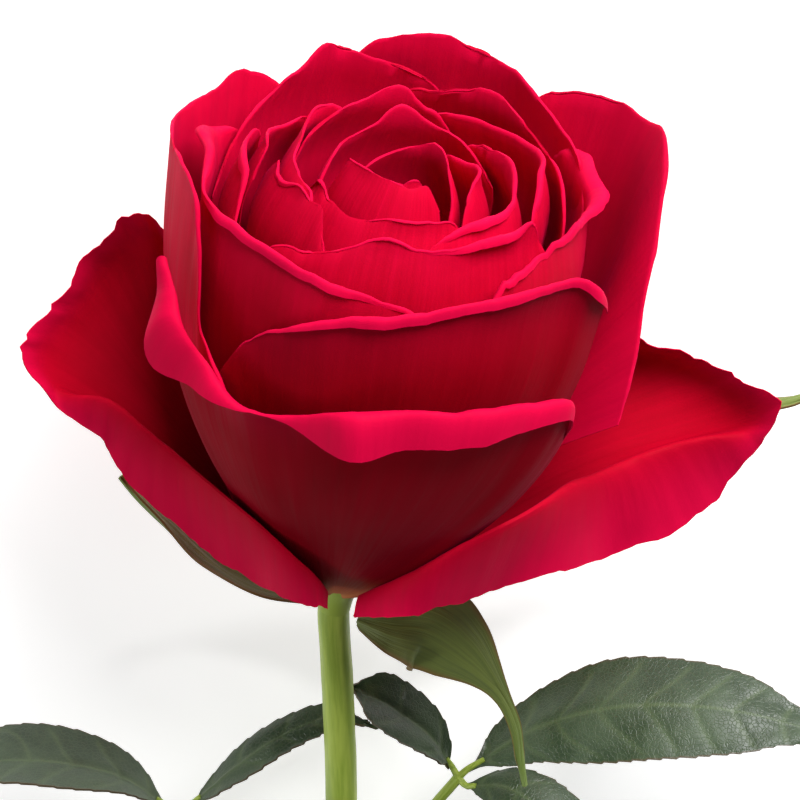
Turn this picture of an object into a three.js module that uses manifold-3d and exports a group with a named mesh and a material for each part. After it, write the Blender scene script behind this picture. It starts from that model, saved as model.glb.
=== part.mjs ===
// A cut rose lying on its back: an opening flower head, a prickly stem and three compound leaves.
// Millimetres, +Z up. The stem runs along Y, the head is at +Y, and the floor is z = 0.
import * as THREE from "three";
import { mergeVertices } from "three/addons/utils/BufferGeometryUtils.js";
import Module from "manifold-3d";

const wasm = await Module();
wasm.setup();

// Driving dimensions
const petalThickness = 0.5;
const leafThickness = 0.6;
const sepalThickness = 0.9;
const stemRadiusTop = 2.35;
const stemRadiusFoot = 2.9;
const rachisRadius = 0.8;
const hipRadius = 4.8; // where the petals are attached
const hipHeight = 9.8;
const headLean = 9; // degrees, of the head to the side of the stem
const layingPitch = 7.35; // degrees that the stem rises from its foot to the head

const colours = {
  petals: 0xb80628,
  stem: 0x6c8030,
  leaves: 0x47604a,
  sepals: 0x5b6428,
};

// Radius of the outer petals' cup against height above the base of the head
const cupProfile = [[-12, 5], [0, 7], [5, 12], [10, 16], [16, 20.5], [22, 24], [30, 28],
  [40, 31.5], [50, 33.3], [62, 33.6], [78, 33]];

const degrees = Math.PI / 180;

// A point of the head: azimuth in degrees from its front, radius and height
function headPoint(azimuth, radius, height) {
  const a = azimuth * degrees;
  return new THREE.Vector3(radius * Math.sin(a), -radius * Math.cos(a), height);
}

// Linear look-up in a list of [x, y]
function lookUp(profile, x) {
  const last = profile.length - 1;
  if (x <= profile[0][0]) return profile[0][1];
  if (x >= profile[last][0]) return profile[last][1];
  const i = profile.findIndex((point) => point[0] > x);
  const [x0, y0] = profile[i - 1];
  const [x1, y1] = profile[i];
  return y0 + ((y1 - y0) * (x - x0)) / (x1 - x0);
}

// Catmull-Rom through rows of numbers, evenly spaced by the given distances between rows
function curveThrough(rows, distance) {
  const marks = [0];
  rows.slice(1).forEach((row, i) => marks.push(marks[i] + distance(rows[i], row)));
  const total = marks[marks.length - 1];
  return (u) => {
    const at = Math.min(Math.max(u, 0), 1) * total;
    let i = marks.findIndex((mark) => mark > at) - 1;
    if (i < 0) i = rows.length - 2;
    const t = (at - marks[i]) / (marks[i + 1] - marks[i]);
    const b = rows[i];
    const c = rows[i + 1];
    const a = rows[i - 1] ?? b;
    const d = rows[i + 2] ?? c;
    return b.map((_, k) => 0.5 * (2 * b[k] + (c[k] - a[k]) * t
      + (2 * a[k] - 5 * b[k] + 4 * c[k] - d[k]) * t * t
      + (3 * b[k] - a[k] - 3 * c[k] + d[k]) * t * t * t));
  };
}

// Distance between two rows that start with azimuth, radius, height
function headDistance(p, q) {
  return headPoint(p[0], p[1], p[2]).distanceTo(headPoint(q[0], q[1], q[2]));
}

// A closed sheet of even thickness over surface(u, v), made from a thin box of across by along cells
function sheet(surface, across, along, thickness) {
  const box = new THREE.BoxGeometry(1, 1, 1, across, along, 1);
  box.deleteAttribute("normal");
  box.deleteAttribute("uv");
  const geometry = mergeVertices(box);
  const position = geometry.attributes.position;
  const step = 0.01;
  for (let i = 0; i < position.count; i += 1) {
    const u = position.getX(i) + 0.5;
    const v = position.getY(i) + 0.5;
    const alongU = surface(Math.min(u + step, 1), v).sub(surface(Math.max(u - step, 0), v));
    const alongV = surface(u, Math.min(v + step, 1)).sub(surface(u, Math.max(v - step, 0)));
    const normal = alongU.cross(alongV).normalize();
    const point = surface(u, v).addScaledVector(normal, thickness * position.getZ(i));
    position.setXYZ(i, point.x, point.y, point.z);
  }
  return geometry;
}

// Where a petal of the given share of the cup is attached: on a dome over the hip
function attachment(azimuth, share) {
  const angle = share * 90 * degrees;
  return headPoint(azimuth, hipRadius * Math.sin(angle) + 0.4, hipHeight * Math.cos(angle));
}

// A standing petal. Each rim row is [azimuth, radius, height, lip out, lip down, lip sideways].
// It stays at one share of the cup from hip to rim, less a waist, so that petals nest.
function standingPetal({ rim, waist = [0, 0], root = 0.3 }) {
  const rows = rim.map((row) => [...row, ...[0.4, 0, 0].slice(row.length - 3)]);
  const rimAt = curveThrough(rows, headDistance);
  const middle = rimAt(0.5)[0];
  const lipStart = 0.8;
  return (u, v) => {
    const [azimuth, radius, height, out, down, sideways] = rimAt(u);
    const share = radius / lookUp(cupProfile, height);
    const foot = attachment(middle + (azimuth - middle) * root, share);
    if (v > lipStart) {
      const roll = (v - lipStart) / (1 - lipStart);
      return headPoint(azimuth + sideways * roll, radius + out * Math.sin(roll * 90 * degrees),
        height - down * (1 - Math.cos(roll * 90 * degrees)) + 0.25 * out * Math.sin(roll * Math.PI));
    }
    const t = v / lipStart;
    const spread = root + (1 - root) * Math.sin(t * 90 * degrees);
    const h = foot.z + (height - foot.z) * t;
    const pinch = (waist[0] + (waist[1] - waist[0]) * u) * Math.sin(t ** 1.5 * Math.PI);
    const wall = headPoint(middle + (azimuth - middle) * spread,
      share * lookUp(cupProfile, h) - pinch, h);
    return foot.lerp(wall, Math.min(t / 0.18, 1));
  };
}

// The rolled edges of the open guard petals are lifted forwards and up along this direction
const rollForward = new THREE.Vector3(0, -0.848, 0.53);

// An open guard petal, given by columns of [valley, ridge, edge], each [azimuth, radius, height]
function openPetal({ columns, root = 0.35, seat = 1.2, lift = 0 }) {
  const columnAt = curveThrough(columns.map((column) => column.flat()),
    (p, q) => headDistance(p.slice(3), q.slice(3)) + headDistance(p.slice(6), q.slice(6)));
  const middle = columnAt(0.5)[3];
  return (u, v) => {
    const column = columnAt(u);
    const foot = attachment(middle + (column[0] - middle) * root, seat);
    const edge = headPoint(...column.slice(6, 9)).addScaledVector(rollForward, lift);
    const knots = [foot, headPoint(...column.slice(0, 3)), headPoint(...column.slice(3, 6)), edge];
    return new THREE.CatmullRomCurve3(knots).getPoint(v);
  };
}

// A ribbon such as a leaflet or sepal: points down its middle, half widths, and its sideways direction
function ribbon({ middle, halfWidths, side, fold = 0 }) {
  const line = new THREE.CatmullRomCurve3(middle.map((p) => new THREE.Vector3(...p)));
  const widths = halfWidths.map((width, i) => [i / (halfWidths.length - 1), width]);
  const across = new THREE.Vector3(...side).normalize();
  return (u, v) => {
    const point = line.getPoint(v);
    const tangent = line.getTangent(v);
    const flat = across.clone().addScaledVector(tangent, -across.dot(tangent)).normalize();
    const face = new THREE.Vector3().crossVectors(flat, tangent);
    const reach = (2 * u - 1) * lookUp(widths, v);
    return point.addScaledVector(flat, reach).addScaledVector(face, fold * Math.abs(reach));
  };
}

// A round tube along points, tapering from one radius to another
function tube(points, startRadius, endRadius, sides, steps) {
  const path = new THREE.CatmullRomCurve3(points.map((p) => new THREE.Vector3(...p)));
  const section = new THREE.Shape();
  for (let i = 0; i < sides; i += 1) {
    const angle = (i / sides) * 2 * Math.PI;
    section[i ? "lineTo" : "moveTo"](Math.cos(angle), Math.sin(angle));
  }
  const geometry = new THREE.ExtrudeGeometry(section, { steps, extrudePath: path, bevelEnabled: false });
  geometry.deleteAttribute("normal");
  geometry.deleteAttribute("uv");
  const merged = mergeVertices(geometry);
  const position = merged.attributes.position;
  const stations = Array.from({ length: steps + 1 }, (_, i) => path.getPointAt(i / steps));
  for (let i = 0; i < position.count; i += 1) {
    const point = new THREE.Vector3().fromBufferAttribute(position, i);
    let nearest = 0;
    stations.forEach((station, k) => {
      if (station.distanceTo(point) < stations[nearest].distanceTo(point)) nearest = k;
    });
    const radius = startRadius + ((endRadius - startRadius) * nearest) / steps;
    point.sub(stations[nearest]).multiplyScalar(radius).add(stations[nearest]);
    position.setXYZ(i, point.x, point.y, point.z);
  }
  return merged;
}

function toSolid(geometry) {
  return new wasm.Manifold(new wasm.Mesh({
    numProp: 3,
    vertProperties: new Float32Array(geometry.attributes.position.array),
    triVerts: new Uint32Array(geometry.index.array),
  }));
}

function toGeometry(solid) {
  const mesh = solid.getMesh();
  const geometry = new THREE.BufferGeometry();
  geometry.setAttribute("position", new THREE.BufferAttribute(mesh.vertProperties, 3));
  geometry.setIndex(new THREE.BufferAttribute(mesh.triVerts, 1));
  return geometry;
}

const standingPetals = {
  heart_petal_1: { cells: [12, 6], root: 0.8, rim: [[-170, 1.2, 63.5], [-60, 1.2, 65], [20, 1.2, 66.5], [110, 1.2, 64.5]] },
  heart_petal_2: { cells: [10, 6], root: 0.7, rim: [[-98, 8.6, 67], [-65, 6.3, 67.6], [-38, 5, 67.3], [-8, 4, 66.6],
    [37, 3.1, 66.4], [60, 2.9, 63]] },
  heart_petal_3: { cells: [14, 7], root: 0.7, rim: [[-100, 5.3, 60], [-111, 5.5, 65], [-150, 5.1, 67],
    [-190, 5, 68.6], [-220, 5, 69.3], [-265, 4.8, 67.9], [-290, 4.8, 65], [-310, 4.8, 61.5]] },
  inner_petal_1: { cells: [7, 5], rim: [[160, 7.4, 60], [147, 7.7, 66.4], [130, 7.7, 67.5],
    [118, 8.2, 67.5], [98, 9.2, 68], [78, 8.1, 66.6], [60, 7.6, 64.8], [46, 7.2, 60]] },
  inner_petal_2: { cells: [9, 4], rim: [[-72, 10.2, 59], [-93, 9.9, 67.6], [-124, 9.3, 68.5],
    [-144, 9.3, 69.5], [-165, 9.3, 72], [-195, 9.3, 70], [-226, 9.4, 68.7], [-250, 10, 64]] },
  inner_petal_3: { cells: [8, 5], rim: [[48, 10.8, 58], [34, 10.9, 64.7], [12, 11, 65.3],
    [-14, 11, 64.8], [-33, 11.2, 63.9], [-46, 11.6, 63.8], [-65, 12, 64], [-77, 12.6, 65],
    [-92, 12.2, 60]] },
  inner_petal_4: { cells: [10, 5], rim: [[160, 11.8, 61], [142, 12, 66.8], [130, 11.9, 68.4],
    [116, 12.1, 69.1, 0.8, 0.2], [103, 12.9, 69.4, 1, 0.4], [88, 13.4, 68.6, 1, 0.5],
    [72, 13.4, 66.8, 1.4, 0.6], [47, 12.8, 66.4, 1.5, 0.6], [28, 13, 65.9, 1.5, 0.5],
    [9, 13.3, 63.3, 0.8, 0.2], [-6, 13.4, 58]] },
  inner_petal_5: { cells: [10, 5], rim: [[-95, 13.7, 58], [-106, 13.9, 65], [-112, 14, 67.9],
    [-138, 14, 70.3], [-150, 14, 70.9], [-169, 14, 72.8], [-185, 14, 69.9], [-194, 14, 68.6],
    [-208, 14, 62]] },
  inner_petal_6: { cells: [9, 5], rim: [[-48, 14.3, 58], [-60, 14.1, 64.7], [-75, 14.6, 65.8],
    [-92, 15.6, 66.5], [-104, 15.8, 67.4], [-126, 16.8, 69.6], [-143, 16.6, 68], [-155, 16.3, 62]] },
  inner_petal_7: { cells: [9, 5], rim: [[186, 15.7, 61], [175, 16, 67.2], [159, 16, 69],
    [137, 16.8, 69.2, 0.8, 0.2], [122, 17.6, 69.2, 1, 0.3], [107, 18.2, 69, 1, 0.5],
    [95, 16.6, 68.6, 1.4, 0.8], [82, 15.8, 67, 1.4, 0.8], [72, 15.6, 64.5, 0.8, 0.4], [60, 15.6, 57]] },
  middle_petal_1: { cells: [9, 5], rim: [[-108, 18, 58], [-95, 18, 65.1], [-84, 17.9, 64.8, 0.6, 0.2],
    [-76, 17.2, 65, 0.8, 0.4], [-68, 16.2, 65.6], [-57, 15.9, 65.2], [-49, 15.4, 64.8],
    [-36, 15.2, 59]] },
  middle_petal_2: { cells: [10, 5], rim: [[-60, 20.2, 53], [-51, 20.4, 60.5], [-40, 19, 61.4],
    [-28, 18.6, 62.9], [-11, 18, 66], [2, 18, 65.2, 0.6, 0.1], [16, 18.6, 66, 1.3, 0.5],
    [29, 18.8, 67.2, 1.6, 0.7], [45, 19, 67.5, 1.3, 0.5], [53, 20, 68, 0.4, 0.1], [62, 20.5, 61]] },
  middle_petal_3: { cells: [8, 5], rim: [[-142, 18.5, 60], [-132, 19, 66.3], [-120, 19.4, 66.8],
    [-110, 20, 67, 0.6, 0], [-102, 20.2, 67.8, 0.8, 0.1], [-95, 19.8, 67.6, 0.8, 0.2],
    [-88, 19.4, 63]] },
  middle_petal_4: { cells: [8, 5], rim: [[-122, 21.2, 58], [-106, 21.8, 66.8, 0.6, 0.1],
    [-97, 22.4, 67.1, 1.2, 0.5], [-90, 22.3, 66.9, 1.6, 1], [-84, 22, 66.2, 1.6, 1],
    [-76, 22, 64.5, 1, 0.5], [-64, 22.2, 56]] },
  middle_petal_5: { cells: [9, 5], rim: [[200, 20.4, 60], [183, 20.6, 68.5], [172, 20.6, 69.6],
    [160, 20.6, 71], [149, 20.8, 72], [136, 20.6, 70.4], [120, 20.3, 68], [106, 20, 67],
    [92, 19.2, 64], [82, 18.8, 57]] },
  outer_petal_1: { cells: [9, 5], rim: [[-106, 25.4, 55], [-120, 25.2, 63.5], [-130, 25.8, 66],
    [-137, 26.2, 68.6], [-144, 26.8, 70], [-152, 27.2, 72.8], [-163, 26.6, 71.2], [-178, 26, 69.6],
    [-188, 25.8, 67], [-198, 25.6, 60]] },
  outer_petal_2: { cells: [11, 5], rim: [[-152, 29.4, 58], [-165, 28.8, 70.8], [-174, 28.4, 73.4],
    [-187, 28, 74.9], [-198, 28, 73.8], [-210, 28, 72.5], [-220, 26.8, 70.6], [-232, 25.4, 68.8],
    [-241, 24.4, 68.3], [-250, 23.2, 67.4], [-262, 22, 63.5], [-272, 21.6, 57]] },
  outer_petal_3: { cells: [10, 5], waist: [0.8, 0.5], rim: [[135, 28.8, 55], [127, 28.4, 65],
    [116, 28.6, 67.6, 1.2, 0.2], [105, 28.3, 67.6, 2, 0.6], [95, 26.4, 67.4, 2, 0.7],
    [80, 24.6, 67.2, 1.6, 0.6], [65, 23.4, 67.4, 1.4, 0.5], [48, 22.6, 65.4, 1.2, 0.5],
    [32, 22.6, 63.1, 1, 0.4], [16, 22.8, 56]] },
  outer_petal_4: { cells: [12, 5], waist: [0.8, 0.4], rim: [[-138, 27.6, 50], [-124, 28, 61.2], [-114, 29.4, 62.5],
    [-102, 30, 65], [-92, 29.6, 66.4, 1, 0.2], [-82, 29.4, 65.8, 1.2, 0.5], [-70, 28.8, 65, 1.3, 0.6],
    [-53, 27.4, 64, 1.8, 0.8], [-42, 26.6, 63.4, 1.9, 0.9], [-33, 26.2, 62.8, 1.9, 0.9],
    [-20, 25.5, 62, 1.8, 0.8], [-8, 25, 61.2, 1.2, 0.5], [2, 25, 60.2, 0.8, 0.2], [16, 25.5, 54]] },
  outer_petal_5: { cells: [11, 5], rim: [[-50, 29.2, 42], [-41, 29.4, 50.3], [-27, 29.8, 56.5, 1.2, 0.4],
    [-14, 29.4, 59.7, 1.6, 0.8], [-2, 29, 61.3, 2, 1], [19, 28.6, 64.1, 2, 1], [43, 29, 65.3, 1.4, 0.6],
    [51, 30.6, 64.4, 2.6, 1.6], [57, 31.4, 60.5, 2, 1]] },
  outer_petal_6: { cells: [13, 6], waist: [1.8, 0], rim: [[-160, 32.4, 55], [-146, 33, 63.4],
    [-134, 34, 67], [-125, 34, 65.2], [-108, 34.2, 65.3], [-97, 33.4, 65.4], [-87, 32.4, 64.8],
    [-77, 31.8, 63.6], [-68, 31.4, 61], [-60, 31.4, 56.5], [-52, 31.6, 52], [-42, 31.3, 46],
    [-36, 31, 40]] },
  outer_petal_7: { cells: [12, 6], waist: [1.4, 7.5], rim: [[158, 31.6, 58], [145, 31.6, 68.2],
    [138, 32.6, 70.4], [132, 33.6, 71.5], [125, 35, 72.1], [116, 36.2, 71.8, 0.6, 0.2],
    [108, 36, 72.6, 1, 0.6], [99, 35.2, 68, 0.8, 0.4], [91, 34.4, 63, 0.8, 0.4],
    [82, 34.2, 55.5, 0.8, 0.4], [74, 34.8, 47.5, 0.8, 0.4], [67, 35.6, 40]] },
  outer_petal_8: { cells: [13, 6], rim: [[-64, 34.6, 59, 0.6, 0.2, 0], [-58, 34.4, 55.5, 3, 0.4, -2],
    [-50, 34.2, 51, 4.4, 0.6, -8], [-43, 34.1, 47.4, 4.8, 3.4, -8], [-33, 33.6, 44.2, 3, 0.2, -3],
    [-24, 33, 44.6, 1.6, 0.4, 0], [-12, 33, 48.2, 4.4, 5, 3], [2, 33, 49.8, 4.5, 4.8, 1],
    [20, 33, 50.9, 4.4, 4.2, -2], [34, 33.6, 50.9, 3.6, 2.8, -4], [42, 34.8, 50, 2.2, 1.8, -1],
    [47, 33.2, 42]] },
};

const openPetals = {
  guard_petal_left: { cells: [15, 6], lift: 5, columns: [
    [[-118, 29, 24], [-122, 34.6, 36], [-124, 36.4, 39]],
    [[-112, 29, 24], [-113, 36, 42], [-113, 39, 46.5]],
    [[-106, 29, 22], [-109, 41, 38], [-109, 44.5, 39.5]],
    [[-100, 29, 20], [-101, 43.5, 32], [-101, 47.2, 32.5]],
    [[-95, 28.5, 18], [-93, 46, 28.5], [-92, 49.8, 29.4]],
    [[-90, 28, 16], [-87, 43.5, 26], [-90, 43.5, 22]],
    [[-84, 27, 15], [-83, 37.5, 27.2], [-88, 37.5, 19]],
    [[-77, 25.5, 13], [-76, 33, 26], [-84, 33.5, 14.5]],
    [[-68, 23, 12], [-65, 28.5, 24], [-72, 26, 10]],
    [[-55, 20.5, 10], [-50, 27, 23.5], [-60, 20.5, 6.5]],
    [[-40, 18.5, 9], [-34, 26, 21.6], [-44, 17, 4.5]],
    [[-27, 15.5, 6], [-18, 22.4, 15], [-18, 17, 5.5]],
    [[-17, 11.4, 3.2], [-10, 14.6, 6.4], [-10, 11.6, 1.8]],
  ] },
  guard_petal_right: { cells: [16, 6], lift: 6, columns: [
    [[120, 30, 26], [118, 36, 35], [119, 38, 38]],
    [[114, 31, 25], [110, 39.5, 36], [110, 41, 37.5]],
    [[108, 32, 24], [105, 46, 34.5], [106, 48, 36]],
    [[103, 32, 22], [99, 51, 33.5], [100, 53.5, 35.5]],
    [[98, 31.5, 20], [95, 54, 32.5], [95, 57.5, 36]],
    [[94, 31, 19], [92, 53.5, 32], [95, 56.5, 29]],
    [[90, 30, 18], [90, 48, 31], [96, 53.5, 21.5]],
    [[86, 29, 17], [88, 43, 29.7], [94, 50.7, 17.6]],
    [[81, 28, 16], [84, 37, 27.6], [90, 44, 13.5]],
    [[75, 26, 15], [77, 33, 27], [86, 37, 11]],
    [[66, 24.8, 12.6], [67, 30.4, 27.5], [74, 31, 11.5]],
    [[54, 23.6, 11], [50, 28.8, 26.5], [60, 24, 9.3]],
    [[40, 21.2, 10], [33, 26.6, 23], [42, 21, 8]],
    [[27, 18.2, 8], [20, 22.8, 16], [25, 19.2, 6.5]],
    [[16, 13.4, 3.5], [9, 15.8, 7.2], [9, 13.4, 2.2]],
  ] },
  guard_petal_small: { cells: [6, 4], seat: 1.3, columns: [
    [[30, 9, -0.8], [30, 12, 1.2], [30, 13.4, 3.4]],
    [[44, 10.6, -0.5], [44, 15, 2.2], [44, 17, 4.8]],
    [[60, 11.2, -0.3], [62, 16, 2.4], [63, 18.4, 5.2]],
    [[78, 10, -0.6], [78, 14, 1.6], [78, 16, 4.2]],
  ] },
  guard_petal_back_left: { cells: [10, 5], columns: [
    [[-130, 28, 20], [-131, 35, 34], [-131, 37.5, 35]],
    [[-141, 28, 20], [-141, 38.5, 41], [-141, 41.5, 41]],
    [[-151, 28.5, 19], [-151, 40, 44], [-151, 43.2, 43.5]],
    [[-164, 28, 18], [-165, 35, 41], [-165, 37.6, 41]],
    [[-174, 28, 16], [-175, 33, 34], [-176, 35, 34]],
  ] },
  guard_petal_back_right: { cells: [10, 5], columns: [
    [[127, 28, 20], [128, 35, 36], [128, 37.5, 37]],
    [[138, 27.5, 20], [138, 37.5, 42], [138, 41, 42]],
    [[150, 27, 19], [150, 39.6, 45], [150, 43.2, 44]],
    [[163, 26.5, 18], [163, 35, 41], [164, 37.4, 40.5]],
    [[172, 26, 16], [173, 32, 33], [174, 34.5, 33]],
  ] },
};

// Sepals: [azimuth, radius, height] down the middle
const sepals = {
  sepal_front: { side: [0.75, 0.35, 0.55], halfWidths: [1.4, 4.5, 7, 5.6, 2.6, 1.3, 1, 0.8, 0.5],
    middle: [[52, 4.6, -5.9], [64, 9.6, -5.2], [72, 14.4, -4.8], [79, 19.6, -8.4], [83, 24.6, -13.4],
      [85, 27.5, -17.4], [86, 30.2, -22.6], [87, 31.9, -28.4], [88, 33.7, -34.2]] },
  sepal_right: { side: [0, 1, 0.1], halfWidths: [1.5, 4.6, 4.5, 3.4, 2.2, 1.4, 0.7],
    middle: [[115, 4, -5.2], [113, 15, -3], [111, 27, 8.4], [107, 38.5, 21.4], [102.5, 50, 29.2],
      [98, 59, 33.5], [97, 68, 37.5]] },
  sepal_left: { side: [0, 1, -0.2], halfWidths: [1.5, 3.4, 3, 2, 0.8],
    middle: [[-76, 4, -5.2], [-84, 12, -4], [-92, 20, -1.4], [-96, 27.5, 3.6], [-98, 34, 8.6]] },
  sepal_back_left: { side: [0.75, 0.66, 0], halfWidths: [1.5, 4, 4.2, 3, 0.8],
    middle: [[-140, 4, -5.2], [-141, 13, -5.4], [-142, 22, -2.6], [-142, 29, 3.6], [-142, 34, 10]] },
  sepal_back_right: { side: [1, -0.2, 0], halfWidths: [1.5, 4, 4.2, 3, 0.8],
    middle: [[168, 4, -5.2], [168, 12, -6], [168, 19, -4.4], [168, 25, 0.2], [168, 29, 6]] },
};

// Stem, leaf stalks and leaflets are given in the frame of the upright plant
const stemPath = [[-1, 0, -6.8], [-0.6, 0, -20], [-0.2, 0, -43], [-1.6, 0.8, -90], [0, 1.8, -140],
  [3, 1, -190], [5, 0, -228]];
const prickles = [[-58, 200], [-84, 20], [-101, 150], [-128, 280], [-160, 60], [-176, 190], [-204, 330]];
const prickleLength = 5;

const leaves = {
  a: {
    stalk: [[3.4, 2.6, -79], [7.5, 5.5, -66], [13, 8.6, -53.5], [18, 9.6, -46.4]],
    leaflets: [
      { side: [-0.15, 0.87, 0.47], fold: 0.1, halfWidths: [0.8, 5, 8.2, 8.6, 6.8, 3.8, 0.8],
        middle: [[19.4, 9.9, -45], [30, 12, -38.5], [43, 11, -33.4], [57, 9, -32], [70, 6.5, -33.5],
          [82, 3, -37]] },
      { side: [0.2, 0.87, 0.47], fold: 0.1, halfWidths: [0.8, 3.8, 4.8, 4, 0.8],
        middle: [[17, 10.4, -44.8], [13.5, 10.4, -38.6], [8.5, 10.6, -34], [4, 11, -31], [0.5, 11.2, -29.6]] },
      { side: [0.4, 0.8, 0.4], fold: 0.1, halfWidths: [0.8, 4, 5.5, 4.4, 0.8],
        middle: [[19.2, 8.4, -47], [25.5, 5, -44.6], [31.5, 0.5, -46], [37, -3, -50], [42, -6, -56]] },
    ],
  },
  b: {
    stalk: [[-5.6, 2.4, -96], [-11.5, 4.5, -76], [-20, 6, -60], [-26, 6.4, -51.5]],
    leaflets: [
      { side: [0, 1, -0.05], fold: 0.1, halfWidths: [0.8, 5, 7.5, 7.6, 6, 3.4, 0.8],
        middle: [[-27.6, 6.2, -49.4], [-35, 5.8, -43], [-46, 5, -39.4], [-57, 4, -39], [-68, 2.6, -41.4],
          [-78, 1, -46]] },
      { side: [0.3, 0.7, 0.6], fold: 0.1, halfWidths: [0.8, 2.8, 2.8, 2, 0.6],
        middle: [[-24.4, 6.4, -49.6], [-17, 6.8, -42], [-9, 8.2, -36.4], [-1, 8.6, -33.4], [5.4, 7.6, -34.8]] },
      { side: [0.2, 0.95, -0.2], fold: 0.1, halfWidths: [0.8, 5, 6.4, 4.6, 0.8],
        middle: [[-27.8, 6, -52.6], [-35, 4.6, -58], [-43.5, 3, -63.6], [-52, 1, -69], [-60, -1, -76]] },
    ],
  },
  c: {
    stalk: [[5, 3.4, -152], [14, 6, -138], [25, 8, -124], [36, 9, -111]],
    leaflets: [
      { side: [-0.5, 0.8, 0.4], fold: 0.1, halfWidths: [0.8, 6, 9, 8, 4.6, 0.8],
        middle: [[37.4, 9.2, -108.8], [44, 9.6, -101], [53, 9, -92], [62, 7.6, -84], [70, 5.6, -77.6],
          [77, 3, -73]] },
      { side: [0.9, 0.4, 0.1], fold: 0.1, halfWidths: [0.8, 5, 6.6, 4.8, 0.8],
        middle: [[29.6, 9, -114.6], [28.6, 9.6, -106], [29, 9.4, -96], [31, 8.6, -86.6], [34, 7, -78]] },
      { side: [-0.1, 0.8, 0.6], fold: 0.1, halfWidths: [0.8, 5, 6.6, 4.8, 0.8],
        middle: [[34.6, 8.4, -117], [43, 8, -118.6], [53, 7, -119], [62.6, 5.4, -118], [71, 3, -116]] },
      { side: [0.9, 0.4, 0.1], fold: 0.1, halfWidths: [0.8, 4, 5.4, 4, 0.8],
        middle: [[17.4, 7.6, -129], [14, 8.6, -122], [13, 9, -113.6], [14, 8.8, -105.6], [16.6, 8, -98]] },
      { side: [-0.1, 0.8, 0.6], fold: 0.1, halfWidths: [0.8, 4, 5.4, 4, 0.8],
        middle: [[21.4, 6.4, -134], [29, 6, -137.4], [37, 5.2, -139], [45.6, 4, -139], [53, 2, -137.4]] },
    ],
  },
};

const rose = new THREE.Group();
const plant = new THREE.Group();
const head = new THREE.Group();
rose.add(plant);
plant.add(head);
head.rotation.y = headLean * degrees;
plant.rotation.x = (-90 + layingPitch) * degrees;

function addPiece(group, name, geometry, material) {
  const mesh = new THREE.Mesh(geometry, material);
  mesh.name = name;
  group.add(mesh);
}

function finish(colour, roughness) {
  return new THREE.MeshStandardMaterial({ color: colour, roughness, metalness: 0 });
}

function makePetals() {
  const material = finish(colours.petals, 0.6);
  for (const [name, petal] of Object.entries(standingPetals)) {
    addPiece(head, name, sheet(standingPetal(petal), ...petal.cells, petalThickness), material);
  }
  for (const [name, petal] of Object.entries(openPetals)) {
    addPiece(head, name, sheet(openPetal(petal), ...petal.cells, petalThickness), material);
  }
}

function makeSepals() {
  const material = finish(colours.sepals, 0.55);
  for (const [name, sepal] of Object.entries(sepals)) {
    const middle = sepal.middle.map((row) => headPoint(...row).toArray());
    addPiece(head, name, sheet(ribbon({ ...sepal, middle }), 2, 9, sepalThickness), material);
  }
}

// The hip that the petals and sepals grow from, turned on the head's axis
function makeHip() {
  const outline = [[0, -6.4], [2.45, -6.4], [2.7, -4], [3.4, -1.8], [4.2, 1.5], [3.9, 5], [2.5, 8], [0, 9.2]];
  const lathe = new THREE.LatheGeometry(outline.map(([r, z]) => new THREE.Vector2(r, z)), 16);
  lathe.rotateX(90 * degrees);
  addPiece(head, "hip", lathe, finish(colours.stem, 0.5));
}

// The stem with its prickles, which are hooked towards the foot
function makeStem() {
  const path = new THREE.CatmullRomCurve3(stemPath.map((p) => new THREE.Vector3(...p)));
  let solid = toSolid(tube(stemPath, stemRadiusTop, stemRadiusFoot, 10, 26));
  for (const [z, turn] of prickles) {
    const share = (stemPath[0][2] - z) / (stemPath[0][2] - stemPath[stemPath.length - 1][2]);
    const root = path.getPointAt(share);
    const cone = new THREE.ConeGeometry(1.3, prickleLength, 6, 1);
    cone.deleteAttribute("normal");
    cone.deleteAttribute("uv");
    cone.scale(0.6, 1, 1.3);
    cone.translate(0, prickleLength / 2 + stemRadiusTop - 0.5, 0);
    cone.rotateX(90 * degrees);
    cone.rotateX(18 * degrees);
    cone.rotateY(90 * degrees);
    cone.rotateZ(turn * degrees);
    cone.translate(root.x, root.y, root.z);
    solid = solid.add(toSolid(mergeVertices(cone)));
  }
  addPiece(plant, "stem", toGeometry(solid), finish(colours.stem, 0.45));
}

function makeLeaves() {
  const leafMaterial = finish(colours.leaves, 0.4);
  const stalkMaterial = finish(colours.stem, 0.5);
  for (const [letter, leaf] of Object.entries(leaves)) {
    const stalk = tube(leaf.stalk, rachisRadius * 1.3, rachisRadius, 6, 8);
    addPiece(plant, `leaf_${letter}_stalk`, stalk, stalkMaterial);
    leaf.leaflets.forEach((leaflet, i) => {
      const blade = sheet(ribbon(leaflet), 2, 8, leafThickness);
      addPiece(plant, `leaf_${letter}_leaflet_${i + 1}`, blade, leafMaterial);
    });
  }
}

makePetals();
makeSepals();
makeHip();
makeStem();
makeLeaves();

// Stood on the floor, with the origin under the middle of its box
rose.updateMatrixWorld(true);
const box = new THREE.Box3().setFromObject(rose, true);
rose.position.set(-(box.min.x + box.max.x) / 2, -(box.min.y + box.max.y) / 2, -box.min.z);

export default rose;
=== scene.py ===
import math
import bpy
import bmesh
from mathutils import Matrix, Vector, noise


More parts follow.
